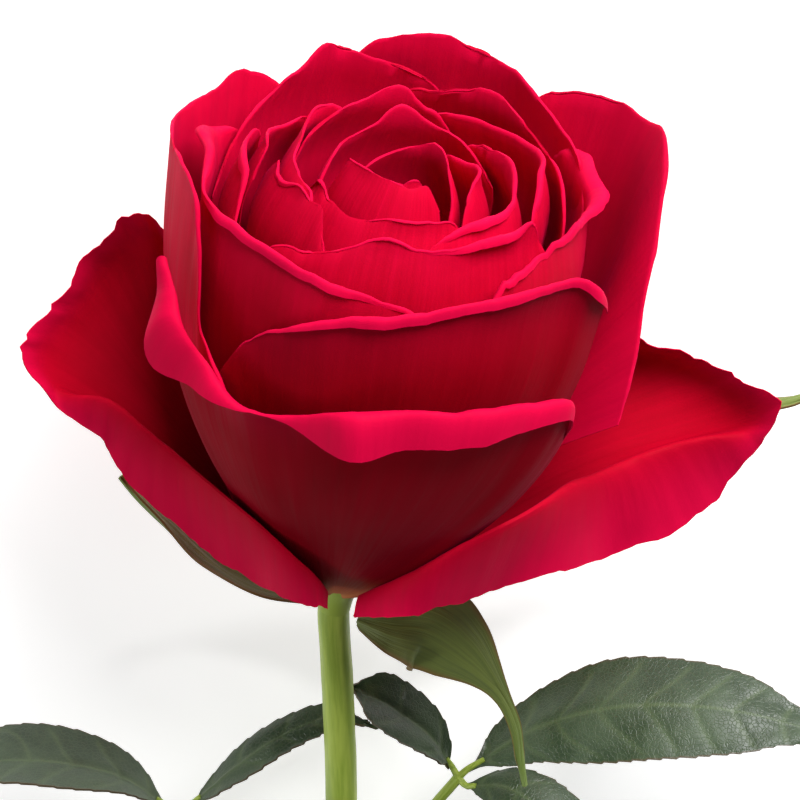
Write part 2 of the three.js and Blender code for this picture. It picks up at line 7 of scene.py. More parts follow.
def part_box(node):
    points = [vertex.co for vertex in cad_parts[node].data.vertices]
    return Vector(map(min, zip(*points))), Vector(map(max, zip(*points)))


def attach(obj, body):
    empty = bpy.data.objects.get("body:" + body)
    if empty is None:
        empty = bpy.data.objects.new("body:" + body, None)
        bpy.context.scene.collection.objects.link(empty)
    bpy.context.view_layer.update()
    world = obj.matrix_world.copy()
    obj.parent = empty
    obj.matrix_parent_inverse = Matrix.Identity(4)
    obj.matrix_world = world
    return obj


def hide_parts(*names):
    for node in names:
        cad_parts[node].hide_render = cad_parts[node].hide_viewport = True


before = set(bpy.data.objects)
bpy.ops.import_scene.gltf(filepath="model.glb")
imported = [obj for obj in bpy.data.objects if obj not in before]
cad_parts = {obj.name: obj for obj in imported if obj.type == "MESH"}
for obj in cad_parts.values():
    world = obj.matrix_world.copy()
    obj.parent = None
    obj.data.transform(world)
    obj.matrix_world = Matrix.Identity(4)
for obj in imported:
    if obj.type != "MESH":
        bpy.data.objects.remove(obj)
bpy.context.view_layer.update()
mm = 0.001

# How the cut flower lies, and the fixed sizes of its head
plant = {"pitch": 7.35, "headLean": 9, "stemTop": 2.35, "stemFoot": 2.9}
receptacle = {"radius": 4.8, "height": 9.8}
hip = {"sides": 16,
       "outline": [(0, -6.4), (2.45, -6.4), (2.7, -4), (3.4, -1.8), (4.2, 1.5), (3.9, 5), (2.5, 8),
                   (0, 9.2)]}
frontUp = Vector((0, -0.848, 0.53))  # forwards and up, across the stem

# Radius of the outer petals' cup against height above the base of the head
cupProfile = [(-12, 5), (0, 7), (5, 12), (10, 16), (16, 20.5), (22, 24), (30, 28), (40, 31.5),
              (50, 33.3), (62, 33.6), (78, 33)]


def headPoint(azimuth, radius, height):
    a = math.radians(azimuth)
    return Vector((radius * math.sin(a), -radius * math.cos(a), height))


def lookUp(profile, x):
    # smooth look-up in a list of (x, y)
    last = len(profile) - 1
    if x <= profile[0][0]:
        return profile[0][1]
    if x >= profile[last][0]:
        return profile[last][1]
    i = next(k for k in range(1, last + 1) if profile[k][0] > x)
    (x0, y0), (x1, y1) = profile[i - 1], profile[i]
    span = x1 - x0
    before = profile[max(i - 2, 0)]
    after = profile[min(i + 1, last)]
    slope0 = (y1 - before[1]) / (x1 - before[0])
    slope1 = (after[1] - y0) / (after[0] - x0)
    t = (x - x0) / span
    return ((1 + 2 * t) * (1 - t) ** 2 * y0 + t * (1 - t) ** 2 * span * slope0
            + t * t * (3 - 2 * t) * y1 + t * t * (t - 1) * span * slope1)


def smooth(low, high, x):
    t = min(max((x - low) / (high - low), 0), 1)
    return t * t * (3 - 2 * t)


def curveThrough(rows, distance):
    # Catmull-Rom through rows of numbers, spaced by the distances between the rows
    marks = [0]
    for a, b in zip(rows, rows[1:]):
        marks.append(marks[-1] + distance(a, b))

    def at(u):
        place = min(max(u, 0), 1) * marks[-1]
        i = next((k for k in range(1, len(marks)) if marks[k] > place), len(marks) - 1) - 1
        t = (place - marks[i]) / (marks[i + 1] - marks[i])
        b, c = rows[i], rows[i + 1]
        a = rows[i - 1] if i > 0 else b
        d = rows[i + 2] if i + 2 < len(rows) else c
        return [0.5 * (2 * q + (r - p) * t + (2 * p - 5 * q + 4 * r - s) * t * t
                       + (3 * q - p - 3 * r + s) * t ** 3) for p, q, r, s in zip(a, b, c, d)]
    return at


def headDistance(p, q):
    return (headPoint(*p[:3]) - headPoint(*q[:3])).length


def splinePoint(knots, share):
    # centripetal Catmull-Rom through the knots, at a share of the way along
    last = len(knots) - 1
    i = min(int(share * last), last - 1)
    t = share * last - i
    p1, p2 = knots[i], knots[i + 1]
    p0 = knots[i - 1] if i > 0 else 2 * p1 - p2
    p3 = knots[i + 2] if i + 2 <= last else 2 * p2 - p1
    d0, d1, d2 = [max((b - a).length, 1e-6) ** 0.5 for a, b in ((p0, p1), (p1, p2), (p2, p3))]
    m1 = ((p1 - p0) / d0 - (p2 - p0) / (d0 + d1) + (p2 - p1) / d1) * d1
    m2 = ((p2 - p1) / d1 - (p3 - p1) / (d1 + d2) + (p3 - p2) / d2) * d1
    return (p1 + m1 * t + (-3 * p1 + 3 * p2 - 2 * m1 - m2) * t * t
            + (2 * p1 - 2 * p2 + m1 + m2) * t ** 3)


def evenSpline(points, samples=200):
    # the same curve, walked at an even pace
    knots = [Vector(p) for p in points]
    walked = [splinePoint(knots, i / samples) for i in range(samples + 1)]
    marks = [0]
    for a, b in zip(walked, walked[1:]):
        marks.append(marks[-1] + (b - a).length)

    def at(share):
        place = min(max(share, 0), 1) * marks[-1]
        low, high = 0, samples
        while high - low > 1:
            half = (low + high) // 2
            low, high = (half, high) if marks[half] <= place else (low, half)
        t = (place - marks[low]) / max(marks[high] - marks[low], 1e-9)
        return walked[low].lerp(walked[high], t)
    return at


plantTurn = Matrix.Rotation(math.radians(plant["pitch"] - 90), 4, "X") @ Matrix.Scale(mm, 4)
headTurn = plantTurn @ Matrix.Rotation(math.radians(plant["headLean"]), 4, "Y")
hipCorners = [headTurn @ headPoint(360 * i / hip["sides"], r, z)
              for i in range(hip["sides"]) for r, z in hip["outline"]]
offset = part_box("hip")[0] - Vector(min(p[k] for p in hipCorners) for k in range(3))
plantPlace = Matrix.Translation(offset) @ plantTurn
headPlace = Matrix.Translation(offset) @ headTurn


def addPiece(node, bm, materials, sharpAngle=50):
    mesh = bpy.data.meshes.new("rose_" + node)
    bm.to_mesh(mesh)
    bm.free()
    mesh.shade_smooth()
    mesh.set_sharp_from_angle(angle=math.radians(sharpAngle))
    piece = bpy.data.objects.new("rose_" + node, mesh)
    bpy.context.scene.collection.objects.link(piece)
    for material in materials:
        mesh.materials.append(material)
    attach(piece, "root")
    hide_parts(node)


def blade(surface, across, along, place, thickness, relief=None, flip=False):
    # A sheet over surface(u, v): its front keeps side 0 and its back gets side 1
    bm = bmesh.new()
    bm.loops.layers.uv.new("blade")
    side = bm.verts.layers.float.new("side")
    bmesh.ops.create_grid(bm, x_segments=across, y_segments=along, size=0.5, calc_uvs=True)
    spots = {}
    for vert in bm.verts:
        spots[vert.index] = (vert.co.x + 0.5, vert.co.y + 0.5)
    for vert in bm.verts:
        vert.co = surface(*spots[vert.index])
    if flip:
        bmesh.ops.reverse_faces(bm, faces=bm.faces[:])
    bm.normal_update()
    if relief:
        for vert in bm.verts:
            vert.co += vert.normal * relief(*spots[vert.index])
        bm.normal_update()
    key = bm.verts.layers.int.new("key")
    normals = []
    for vert in bm.verts:
        vert[key] = vert.index
        normals.append(vert.normal.copy())
    front = bm.faces[:]
    made = bmesh.ops.extrude_face_region(bm, geom=front, use_keep_orig=True)["geom"]
    for vert in bm.verts:
        depth = thickness(*spots[vert[key]]) / 2
        vert.co += normals[vert[key]] * depth
    for vert in [g for g in made if isinstance(g, bmesh.types.BMVert)]:
        vert.co -= normals[vert[key]] * thickness(*spots[vert[key]])
        vert[side] = 1
    bmesh.ops.reverse_faces(bm, faces=[g for g in made if isinstance(g, bmesh.types.BMFace)])
    bm.verts.layers.int.remove(bm.verts.layers.int["key"])
    bmesh.ops.recalc_face_normals(bm, faces=bm.faces[:])
    bmesh.ops.transform(bm, matrix=place, verts=bm.verts[:])
    return bm


def markFromGrid(bm, name, amount):
    # a number for each vertex from its own place on the blade, which the materials read
    layer = bm.verts.layers.float.new(name)
    uv = bm.loops.layers.uv["blade"]
    for vert in bm.verts:
        u, v = vert.link_loops[0][uv].uv
        vert[layer] = amount(u, v)


def newMaterial(name, roughness, specular):
    material = bpy.data.materials.new(name)
    material.use_nodes = True
    tree = material.node_tree
    shader = tree.nodes["Principled BSDF"]
    shader.inputs["Roughness"].default_value = roughness
    shader.inputs["Specular IOR Level"].default_value = specular
    return material, tree, shader


def addNode(tree, kind, values=(), **settings):
    made = tree.nodes.new(kind)
    for key, value in settings.items():
        setattr(made, key, value)
    for socket, value in dict(values).items():
        if isinstance(value, bpy.types.NodeSocket):
            tree.links.new(value, made.inputs[socket])
        else:
            made.inputs[socket].default_value = value
    return made


def maths(tree, operation, a, b=0.0):
    return addNode(tree, "ShaderNodeMath", {0: a, 1: b}, operation=operation).outputs[0]


def ramp(tree, value, low, high, toLow=0.0, toHigh=1.0):
    return addNode(tree, "ShaderNodeMapRange", {"Value": value, "From Min": low, "From Max": high,
                   "To Min": toLow, "To Max": toHigh}, interpolation_type="SMOOTHSTEP").outputs[0]


def mixColour(tree, share, a, b):
    made = addNode(tree, "ShaderNodeMix", data_type="RGBA")
    for socket, value in ((0, share), (6, a), (7, b)):
        if isinstance(value, bpy.types.NodeSocket):
            tree.links.new(value, made.inputs[socket])
        else:
            made.inputs[socket].default_value = value if socket == 0 else (*value, 1)
    return made.outputs[2]


def tint(tree, colour, mark, amount, tone):
    # takes the colour towards the tone by the mark times the amount
    return mixColour(tree, maths(tree, "MULTIPLY", mark, amount), colour, tone)


def marked(tree, name):
    return addNode(tree, "ShaderNodeAttribute", attribute_name=name).outputs["Fac"]


def bladeNoise(tree, stretchU, stretchV, detail=2, roughness=0.5):
    # noise on the blade's own map, stretched so that it runs along it as fibres do
    uv = addNode(tree, "ShaderNodeUVMap", uv_map="blade").outputs[0]
    place = addNode(tree, "ShaderNodeMapping", {"Vector": uv, "Scale": (stretchU, stretchV, 1)}).outputs[0]
    return addNode(tree, "ShaderNodeTexNoise", {"Vector": place, "Scale": 1, "Detail": detail,
                   "Roughness": roughness}).outputs[0]


def bladeSplit(tree):
    uv = addNode(tree, "ShaderNodeUVMap", uv_map="blade").outputs[0]
    parts = addNode(tree, "ShaderNodeSeparateXYZ", {0: uv}).outputs
    return parts[0], parts[1]


def edgeMark(tree, across, start):
    # rises to 1 at both long edges of a blade
    fromMiddle = maths(tree, "ABSOLUTE", maths(tree, "SUBTRACT", across, 0.5))
    return ramp(tree, fromMiddle, start, 0.5)


def objectNoise(tree, scale, detail=2, roughness=0.5):
    place = addNode(tree, "ShaderNodeTexCoord").outputs["Object"]
    return addNode(tree, "ShaderNodeTexNoise", {"Vector": place, "Scale": scale, "Detail": detail,
                   "Roughness": roughness}).outputs[0]


def bumpFrom(tree, shader, height, distance, strength=1.0):
    bump = addNode(tree, "ShaderNodeBump", {"Height": height, "Distance": distance, "Strength": strength})
    tree.links.new(bump.outputs[0], shader.inputs["Normal"])


# the old tone is partly painted shade on the outer faces of older petals
velvet = {"deep": (0.57, 0.0008, 0.017), "lively": (0.72, 0.0012, 0.036), "rim": (0.8, 0.003, 0.075),
          "inside": (0.7, 0.0015, 0.042), "claw": (0.55, 0.2, 0.06),
          "oldAndShaded": (0.27, 0.0003, 0.005), "insideOld": (0.42, 0.0006, 0.013),
          "roughness": (0.52, 0.7), "specular": 0.03,
          "sheen": 0.06, "sheenRoughness": 0.4, "sheenTint": (1, 0.03, 0.3, 1),
          "guardAges": (0.86, 0.95)}  # between these ages a petal takes on the guard petals' look


def petalVelvet():
    material, tree, shader = newMaterial("petalVelvet", velvet["roughness"][1], velvet["specular"])
    along = bladeSplit(tree)[1]
    side = marked(tree, "side")
    # the age mark also carries painted shade on older petals and painted light on outer_petal_6
    ageAndShade = marked(tree, "ageAndShade")

    def byAgeAndShade(young, guard):
        return ramp(tree, ageAndShade, *velvet["guardAges"], young, guard)
    fibres = bladeNoise(tree, 75, 2.2, 4, 0.6)
    veins = bladeNoise(tree, 22, 1.4)
    blotches = objectNoise(tree, 90, 3)
    share = maths(tree, "ADD", maths(tree, "MULTIPLY", fibres, 0.55), maths(tree, "MULTIPLY", veins, 0.45))
    share = maths(tree, "ADD", share, maths(tree, "MULTIPLY", maths(tree, "SUBTRACT", blotches, 0.5), 0.7))
    colour = mixColour(tree, ramp(tree, share, 0.1, 0.9), velvet["deep"], velvet["lively"])
    # the older a petal, the darker it is outside, but for the open guard petals: partly the petals' own
    # colour, partly painted shade on their outer faces
    colour = mixColour(tree, maths(tree, "SUBTRACT", ageAndShade, byAgeAndShade(0, 0.85)), colour, velvet["oldAndShaded"])
    inside = mixColour(tree, byAgeAndShade(0, 1), velvet["inside"], velvet["insideOld"])
    colour = tint(tree, colour, side, 0.8, inside)
    # a lighter, pinker tone towards the rim: partly the petals' own colour, partly a painted highlight
    # where the rims catch the light
    rimTintAndHighlight = maths(tree, "MULTIPLY", ramp(tree, along, 0.62, 1), byAgeAndShade(0.35, 0.5))
    colour = mixColour(tree, rimTintAndHighlight, colour, velvet["rim"])
    colour = mixColour(tree, ramp(tree, along, 0.2, 0.02), colour, velvet["claw"])
    # darker towards the root, which stands in for the shade inside a head
    rootTone = byAgeAndShade(0.62, 0.95)
    rise = maths(tree, "MULTIPLY", ramp(tree, along, 0.2, 0.85), maths(tree, "SUBTRACT", 1, rootTone))
    rise = maths(tree, "ADD", rootTone, rise)
    tone = maths(tree, "MULTIPLY", ramp(tree, share, 0.2, 0.8, 0.9, 1.07), rise)
    colour = addNode(tree, "ShaderNodeHueSaturation", {"Value": tone, "Color": colour}).outputs[0]
    tree.links.new(colour, shader.inputs["Base Color"])
    shader.inputs["Sheen Weight"].default_value = velvet["sheen"]
    shader.inputs["Sheen Roughness"].default_value = velvet["sheenRoughness"]
    shader.inputs["Sheen Tint"].default_value = velvet["sheenTint"]
    down = objectNoise(tree, 3200, 1)
    height = maths(tree, "ADD", maths(tree, "MULTIPLY", fibres, 0.8), maths(tree, "MULTIPLY", veins, 1.2))
    height = maths(tree, "ADD", height, maths(tree, "MULTIPLY", down, 0.25))
    bumpFrom(tree, shader, height, 0.0002, 0.3)
    tree.links.new(ramp(tree, fibres, 0.3, 0.7, *velvet["roughness"]), shader.inputs["Roughness"])
    return material


leafTones = {"blade": (0.026, 0.047, 0.021), "pale": (0.05, 0.08, 0.04), "under": (0.1, 0.15, 0.08),
             "vein": (0.12, 0.17, 0.07), "edge": (0.08, 0.06, 0.03)}


def leafGreen():
    material, tree, shader = newMaterial("leafGreen", 0.38, 0.45)
    across = bladeSplit(tree)[0]
    blotches = objectNoise(tree, 120, 4, 0.6)
    place = addNode(tree, "ShaderNodeTexCoord").outputs["Object"]
    cells = addNode(tree, "ShaderNodeTexVoronoi", {"Vector": place, "Scale": 1500},
                    feature="DISTANCE_TO_EDGE").outputs[0]
    net = ramp(tree, cells, 0.12, 0.0)
    colour = mixColour(tree, ramp(tree, blotches, 0.35, 0.7), leafTones["blade"], leafTones["pale"])
    colour = tint(tree, colour, net, 0.12, leafTones["vein"])
    colour = tint(tree, colour, marked(tree, "vein"), 0.4, leafTones["vein"])
    colour = tint(tree, colour, marked(tree, "side"), 0.6, leafTones["under"])
    colour = mixColour(tree, edgeMark(tree, across, 0.475), colour, leafTones["edge"])
    tree.links.new(colour, shader.inputs["Base Color"])
    tree.links.new(ramp(tree, blotches, 0.3, 0.7, 0.3, 0.48), shader.inputs["Roughness"])
    height = maths(tree, "ADD", maths(tree, "MULTIPLY", net, -0.08), blotches)
    bumpFrom(tree, shader, height, 0.0006, 0.5)
    return material


stemTones = {"skin": (0.235, 0.335, 0.035), "pale": (0.36, 0.46, 0.07), "brown": (0.24, 0.12, 0.035),
             "prickle": (0.3, 0.11, 0.05), "prickleLight": (0.42, 0.2, 0.08),
             "pith": (0.46, 0.5, 0.22), "pithLight": (0.7, 0.72, 0.45)}


def stemSkin(name="stemSkin", stretch=14):
    material, tree, shader = newMaterial(name, 0.42, 0.45)
    streaks = bladeNoise(tree, 12, stretch, 3, 0.6)
    mottle = objectNoise(tree, 260, 4, 0.65)
    scars = objectNoise(tree, 85, 2)
    colour = mixColour(tree, ramp(tree, streaks, 0.35, 0.7), stemTones["skin"], stemTones["pale"])
    colour = tint(tree, colour, ramp(tree, mottle, 0.62, 0.72), 0.35, stemTones["pale"])
    colour = tint(tree, colour, ramp(tree, scars, 0.66, 0.74), 0.6, stemTones["brown"])
    tree.links.new(colour, shader.inputs["Base Color"])
    bumpFrom(tree, shader, maths(tree, "ADD", streaks, mottle), 0.0002, 0.5)
    return material


sepalTones = {"dark": (0.06, 0.09, 0.01), "light": (0.15, 0.2, 0.025), "tail": (0.24, 0.4, 0.06),
              "inside": (0.16, 0.2, 0.06), "edge": (0.2, 0.09, 0.03)}


def sepalGreen():
    material, tree, shader = newMaterial("sepalGreen", 0.5, 0.4)
    across, along = bladeSplit(tree)
    fibres = bladeNoise(tree, 26, 3, 4, 0.6)
    colour = mixColour(tree, ramp(tree, fibres, 0.3, 0.7), sepalTones["dark"], sepalTones["light"])
    colour = tint(tree, colour, ramp(tree, along, 0.6, 1), 0.8, sepalTones["tail"])
    colour = tint(tree, colour, marked(tree, "side"), 0.5, sepalTones["inside"])
    colour = tint(tree, colour, edgeMark(tree, across, 0.4), 0.7, sepalTones["edge"])
    tree.links.new(colour, shader.inputs["Base Color"])
    bumpFrom(tree, shader, fibres, 0.0003, 0.6)
    return material


def prickleHorn():
    material, tree, shader = newMaterial("prickleHorn", 0.35, 0.5)
    grain = objectNoise(tree, 500, 3)
    share = ramp(tree, grain, 0.35, 0.7)
    colour = mixColour(tree, share, stemTones["prickle"], stemTones["prickleLight"])
    tree.links.new(colour, shader.inputs["Base Color"])
    bumpFrom(tree, shader, grain, 0.0001, 0.4)
    return material


def cutPith():
    material, tree, shader = newMaterial("cutPith", 0.75, 0.25)
    grain = objectNoise(tree, 1800, 3)
    share = ramp(tree, grain, 0.35, 0.65)
    colour = mixColour(tree, share, stemTones["pith"], stemTones["pithLight"])
    tree.links.new(colour, shader.inputs["Base Color"])
    bumpFrom(tree, shader, grain, 0.0002, 0.6)
    return material


# Each rim row is [azimuth, radius, height, lip out, lip down, lip sideways]
standingPetals = {
    "heart_petal_1": {
        "root": 0.8,
        "rim": [[-170, 1.2, 63.5], [-60, 1.2, 65], [20, 1.2, 66.5], [110, 1.2, 64.5]]},
    "heart_petal_2": {
        "root": 0.7,
        "rim": [[-98, 8.6, 67], [-65, 6.3, 67.6], [-38, 5, 67.3], [-8, 4, 66.6], [37, 3.1, 66.4],
                [60, 2.9, 63]]},
    "heart_petal_3": {
        "root": 0.7,
        "rim": [[-100, 5.3, 60], [-111, 5.5, 65], [-150, 5.1, 67], [-190, 5, 68.6], [-220, 5, 69.3],
                [-265, 4.8, 67.9], [-290, 4.8, 65], [-310, 4.8, 61.5]]},
    "inner_petal_1": {
        "rim": [[160, 7.4, 60], [147, 7.7, 66.4], [130, 7.7, 67.5], [118, 8.2, 67.5], [98, 9.2, 68],
                [78, 8.1, 66.6], [60, 7.6, 64.8], [46, 7.2, 60]]},
    "inner_petal_2": {
        "rim": [[-72, 10.2, 59], [-93, 9.9, 67.6], [-124, 9.3, 68.5], [-144, 9.3, 69.5],
                [-165, 9.3, 72], [-195, 9.3, 70], [-226, 9.4, 68.7], [-250, 10, 64]]},
    "inner_petal_3": {
        "rim": [[48, 10.8, 58], [34, 10.9, 64.7], [12, 11, 65.3], [-14, 11, 64.8], [-33, 11.2, 63.9],
                [-46, 11.6, 63.8], [-65, 12, 64], [-77, 12.6, 65], [-92, 12.2, 60]]},
    "inner_petal_4": {
        "rim": [[160, 11.8, 61], [142, 12, 66.8], [130, 11.9, 68.4], [116, 12.1, 69.1, 0.8, 0.2],
                [103, 12.9, 69.4, 1, 0.4], [88, 13.4, 68.6, 1, 0.5], [72, 13.4, 66.8, 1.4, 0.6],
                [47, 12.8, 66.4, 1.5, 0.6], [28, 13, 65.9, 1.5, 0.5], [9, 13.3, 63.3, 0.8, 0.2],
                [-6, 13.4, 58]]},
    "inner_petal_5": {
        "rim": [[-95, 13.7, 58], [-106, 13.9, 65], [-112, 14, 67.9], [-138, 14, 70.3], [-150, 14, 70.9],
                [-169, 14, 72.8], [-185, 14, 69.9], [-194, 14, 68.6], [-208, 14, 62]]},
    "inner_petal_6": {
        "rim": [[-48, 14.3, 58], [-60, 14.1, 64.7], [-75, 14.6, 65.8], [-92, 15.6, 66.5],
                [-104, 15.8, 67.4], [-126, 16.8, 69.6], [-143, 16.6, 68], [-155, 16.3, 62]]},
    "inner_petal_7": {
        "rim": [[186, 15.7, 61], [175, 16, 67.2], [159, 16, 69], [137, 16.8, 69.2, 0.8, 0.2],
                [122, 17.6, 69.2, 1, 0.3], [107, 18.2, 69, 1, 0.5], [95, 16.6, 68.6, 1.4, 0.8],
                [82, 15.8, 67, 1.4, 0.8], [72, 15.6, 64.5, 0.8, 0.4], [60, 15.6, 57]]},
    "middle_petal_1": {
        "rim": [[-108, 18, 58], [-95, 18, 65.1], [-84, 17.9, 64.8, 0.6, 0.2], [-76, 17.2, 65, 0.8, 0.4],
                [-68, 16.2, 65.6], [-57, 15.9, 65.2], [-49, 15.4, 64.8], [-36, 15.2, 59]]},
    "middle_petal_2": {
        "rim": [[-60, 20.2, 53], [-51, 20.4, 60.5], [-40, 19, 61.4], [-28, 18.6, 62.9], [-11, 18, 66],
                [2, 18, 65.2, 0.6, 0.1], [16, 18.6, 66, 1.3, 0.5], [29, 18.8, 67.2, 1.6, 0.7],
                [45, 19, 67.5, 1.3, 0.5], [53, 20, 68, 0.4, 0.1], [62, 20.5, 61]]},
    "middle_petal_3": {
        "rim": [[-142, 18.5, 60], [-132, 19, 66.3], [-120, 19.4, 66.8], [-110, 20, 67, 0.6, 0],
                [-102, 20.2, 67.8, 0.8, 0.1], [-95, 19.8, 67.6, 0.8, 0.2], [-88, 19.4, 63]]},
    "middle_petal_4": {
        "rim": [[-122, 21.2, 58], [-106, 21.8, 66.8, 0.6, 0.1], [-97, 22.4, 67.1, 1.2, 0.5],
                [-90, 22.3, 66.9, 1.6, 1], [-84, 22, 66.2, 1.6, 1], [-76, 22, 64.5, 1, 0.5],
                [-64, 22.2, 56]]},
    "middle_petal_5": {
        "rim": [[200, 20.4, 60], [183, 20.6, 68.5], [172, 20.6, 69.6], [160, 20.6, 71], [149, 20.8, 72],
                [136, 20.6, 70.4], [120, 20.3, 68], [106, 20, 67], [92, 19.2, 64], [82, 18.8, 57]]},
    "outer_petal_1": {
        "rim": [[-106, 25.4, 55], [-120, 25.2, 63.5], [-130, 25.8, 66], [-137, 26.2, 68.6],
                [-144, 26.8, 70], [-152, 27.2, 72.8], [-163, 26.6, 71.2], [-178, 26, 69.6],
                [-188, 25.8, 67], [-198, 25.6, 60]]},
    "outer_petal_2": {
        "rim": [[-152, 29.4, 58], [-165, 28.8, 70.8], [-174, 28.4, 73.4], [-187, 28, 74.9],
                [-198, 28, 73.8], [-210, 28, 72.5], [-220, 26.8, 70.6], [-232, 25.4, 68.8],
                [-241, 24.4, 68.3], [-250, 23.2, 67.4], [-262, 22, 63.5], [-272, 21.6, 57]]},
    "outer_petal_3": {
        "ragged": 0.8, "waist": [0.8, 0.5],
        "rim": [[135, 27, 55], [127, 25.6, 64.6], [116, 24.2, 66.6, 5, -1, 0],
                [105, 23.6, 66.4, 6, -1, 0], [93, 23, 66, 5, -0.6, 0], [80, 22.8, 66.4, 3, 0.4, 0],
                [65, 23.4, 67.4, 1.4, 0.5], [48, 22.6, 65.4, 1.2, 0.5], [32, 22.6, 63.1, 1, 0.4],
                [16, 22.8, 56]]},
    "outer_petal_4": {
        "waist": [0.8, 0.4],
        "rim": [[-138, 27.6, 50], [-124, 28, 61.2], [-114, 27, 62.5, 3.4, 0],
                [-102, 26.6, 65.2, 4.4, -0.4], [-92, 26.4, 66, 4, 0], [-82, 27, 65.6, 2.8, 0.3],
                [-70, 28.8, 65, 1.3, 0.6], [-53, 27.4, 64, 1.8, 0.8], [-42, 26.6, 63.4, 1.9, 0.9],
                [-33, 26.2, 62.8, 1.9, 0.9], [-20, 25.5, 62, 1.8, 0.8], [-8, 25, 61.2, 1.2, 0.5],
                [2, 25, 60.2, 0.8, 0.2], [16, 25.5, 54]]},
    "outer_petal_5": {
        "rim": [[-50, 29.2, 42], [-41, 29.4, 50.3], [-27, 29.8, 56.5, 1.2, 0.4],
                [-14, 29.4, 59.7, 1.6, 0.8], [-2, 29, 61.3, 2, 1], [19, 28.6, 64.1, 2, 1],
                [43, 29, 65.3, 1.4, 0.6], [51, 30.6, 64.4, 2.6, 1.6], [57, 31.4, 60.5, 2, 1]]},
    "outer_petal_6": {
        "waist": [1.8, 0],
        "rim": [[-160, 32.4, 55], [-146, 33, 63.4], [-134, 34, 67], [-125, 34, 65.2],
                [-108, 34.2, 65.3], [-97, 33.2, 66.4], [-85, 32.2, 67], [-74, 31.5, 67.4, 0.6, 0.1],
                [-65, 31.2, 65.4, 1, 0.2], [-60, 31.2, 60.5, 1, 0.2], [-58, 31.2, 55],
                [-55.5, 31.2, 49.5], [-47.5, 31, 44.5], [-38.5, 31, 40]]},
    "outer_petal_7": {
        "waist": [1.4, 7.5],
        "rim": [[158, 31.6, 58], [145, 31.6, 68.2], [138, 32.6, 70.4], [132, 33.6, 71.5],
                [125, 35, 72.1], [116, 36.2, 71.8, 0.6, 0.2], [108, 36, 72.6, 1, 0.6],
                [99, 35.2, 68, 0.8, 0.4], [91, 34.4, 63, 0.8, 0.4], [82, 34.2, 55.5, 0.8, 0.4],
                [74, 34.8, 47.5, 0.8, 0.4], [67, 35.6, 40]]},
    "outer_petal_8": {
        "rim": [[-63, 34.4, 57.4, 2.4, 0.4, -1], [-58, 34.4, 54.6, 4.4, 1.6, -3.5],
                [-50, 34.2, 50.6, 4.9, 6, -7], [-43, 34.1, 47.4, 4.7, 3.3, -3],
                [-33, 33.6, 44.2, 3.2, 0, -1], [-24, 33, 44.6, 1.6, 0.4, 0], [-12, 33, 48.2, 4.4, 5, 3],
                [2, 33, 49.8, 4.5, 4.8, 1], [20, 33, 50.9, 4.4, 4.2, -2],
                [34, 33.6, 50.9, 3.6, 2.8, -4], [42, 34.8, 50, 2.2, 1.8, -1], [47, 33.2, 42]]},
}

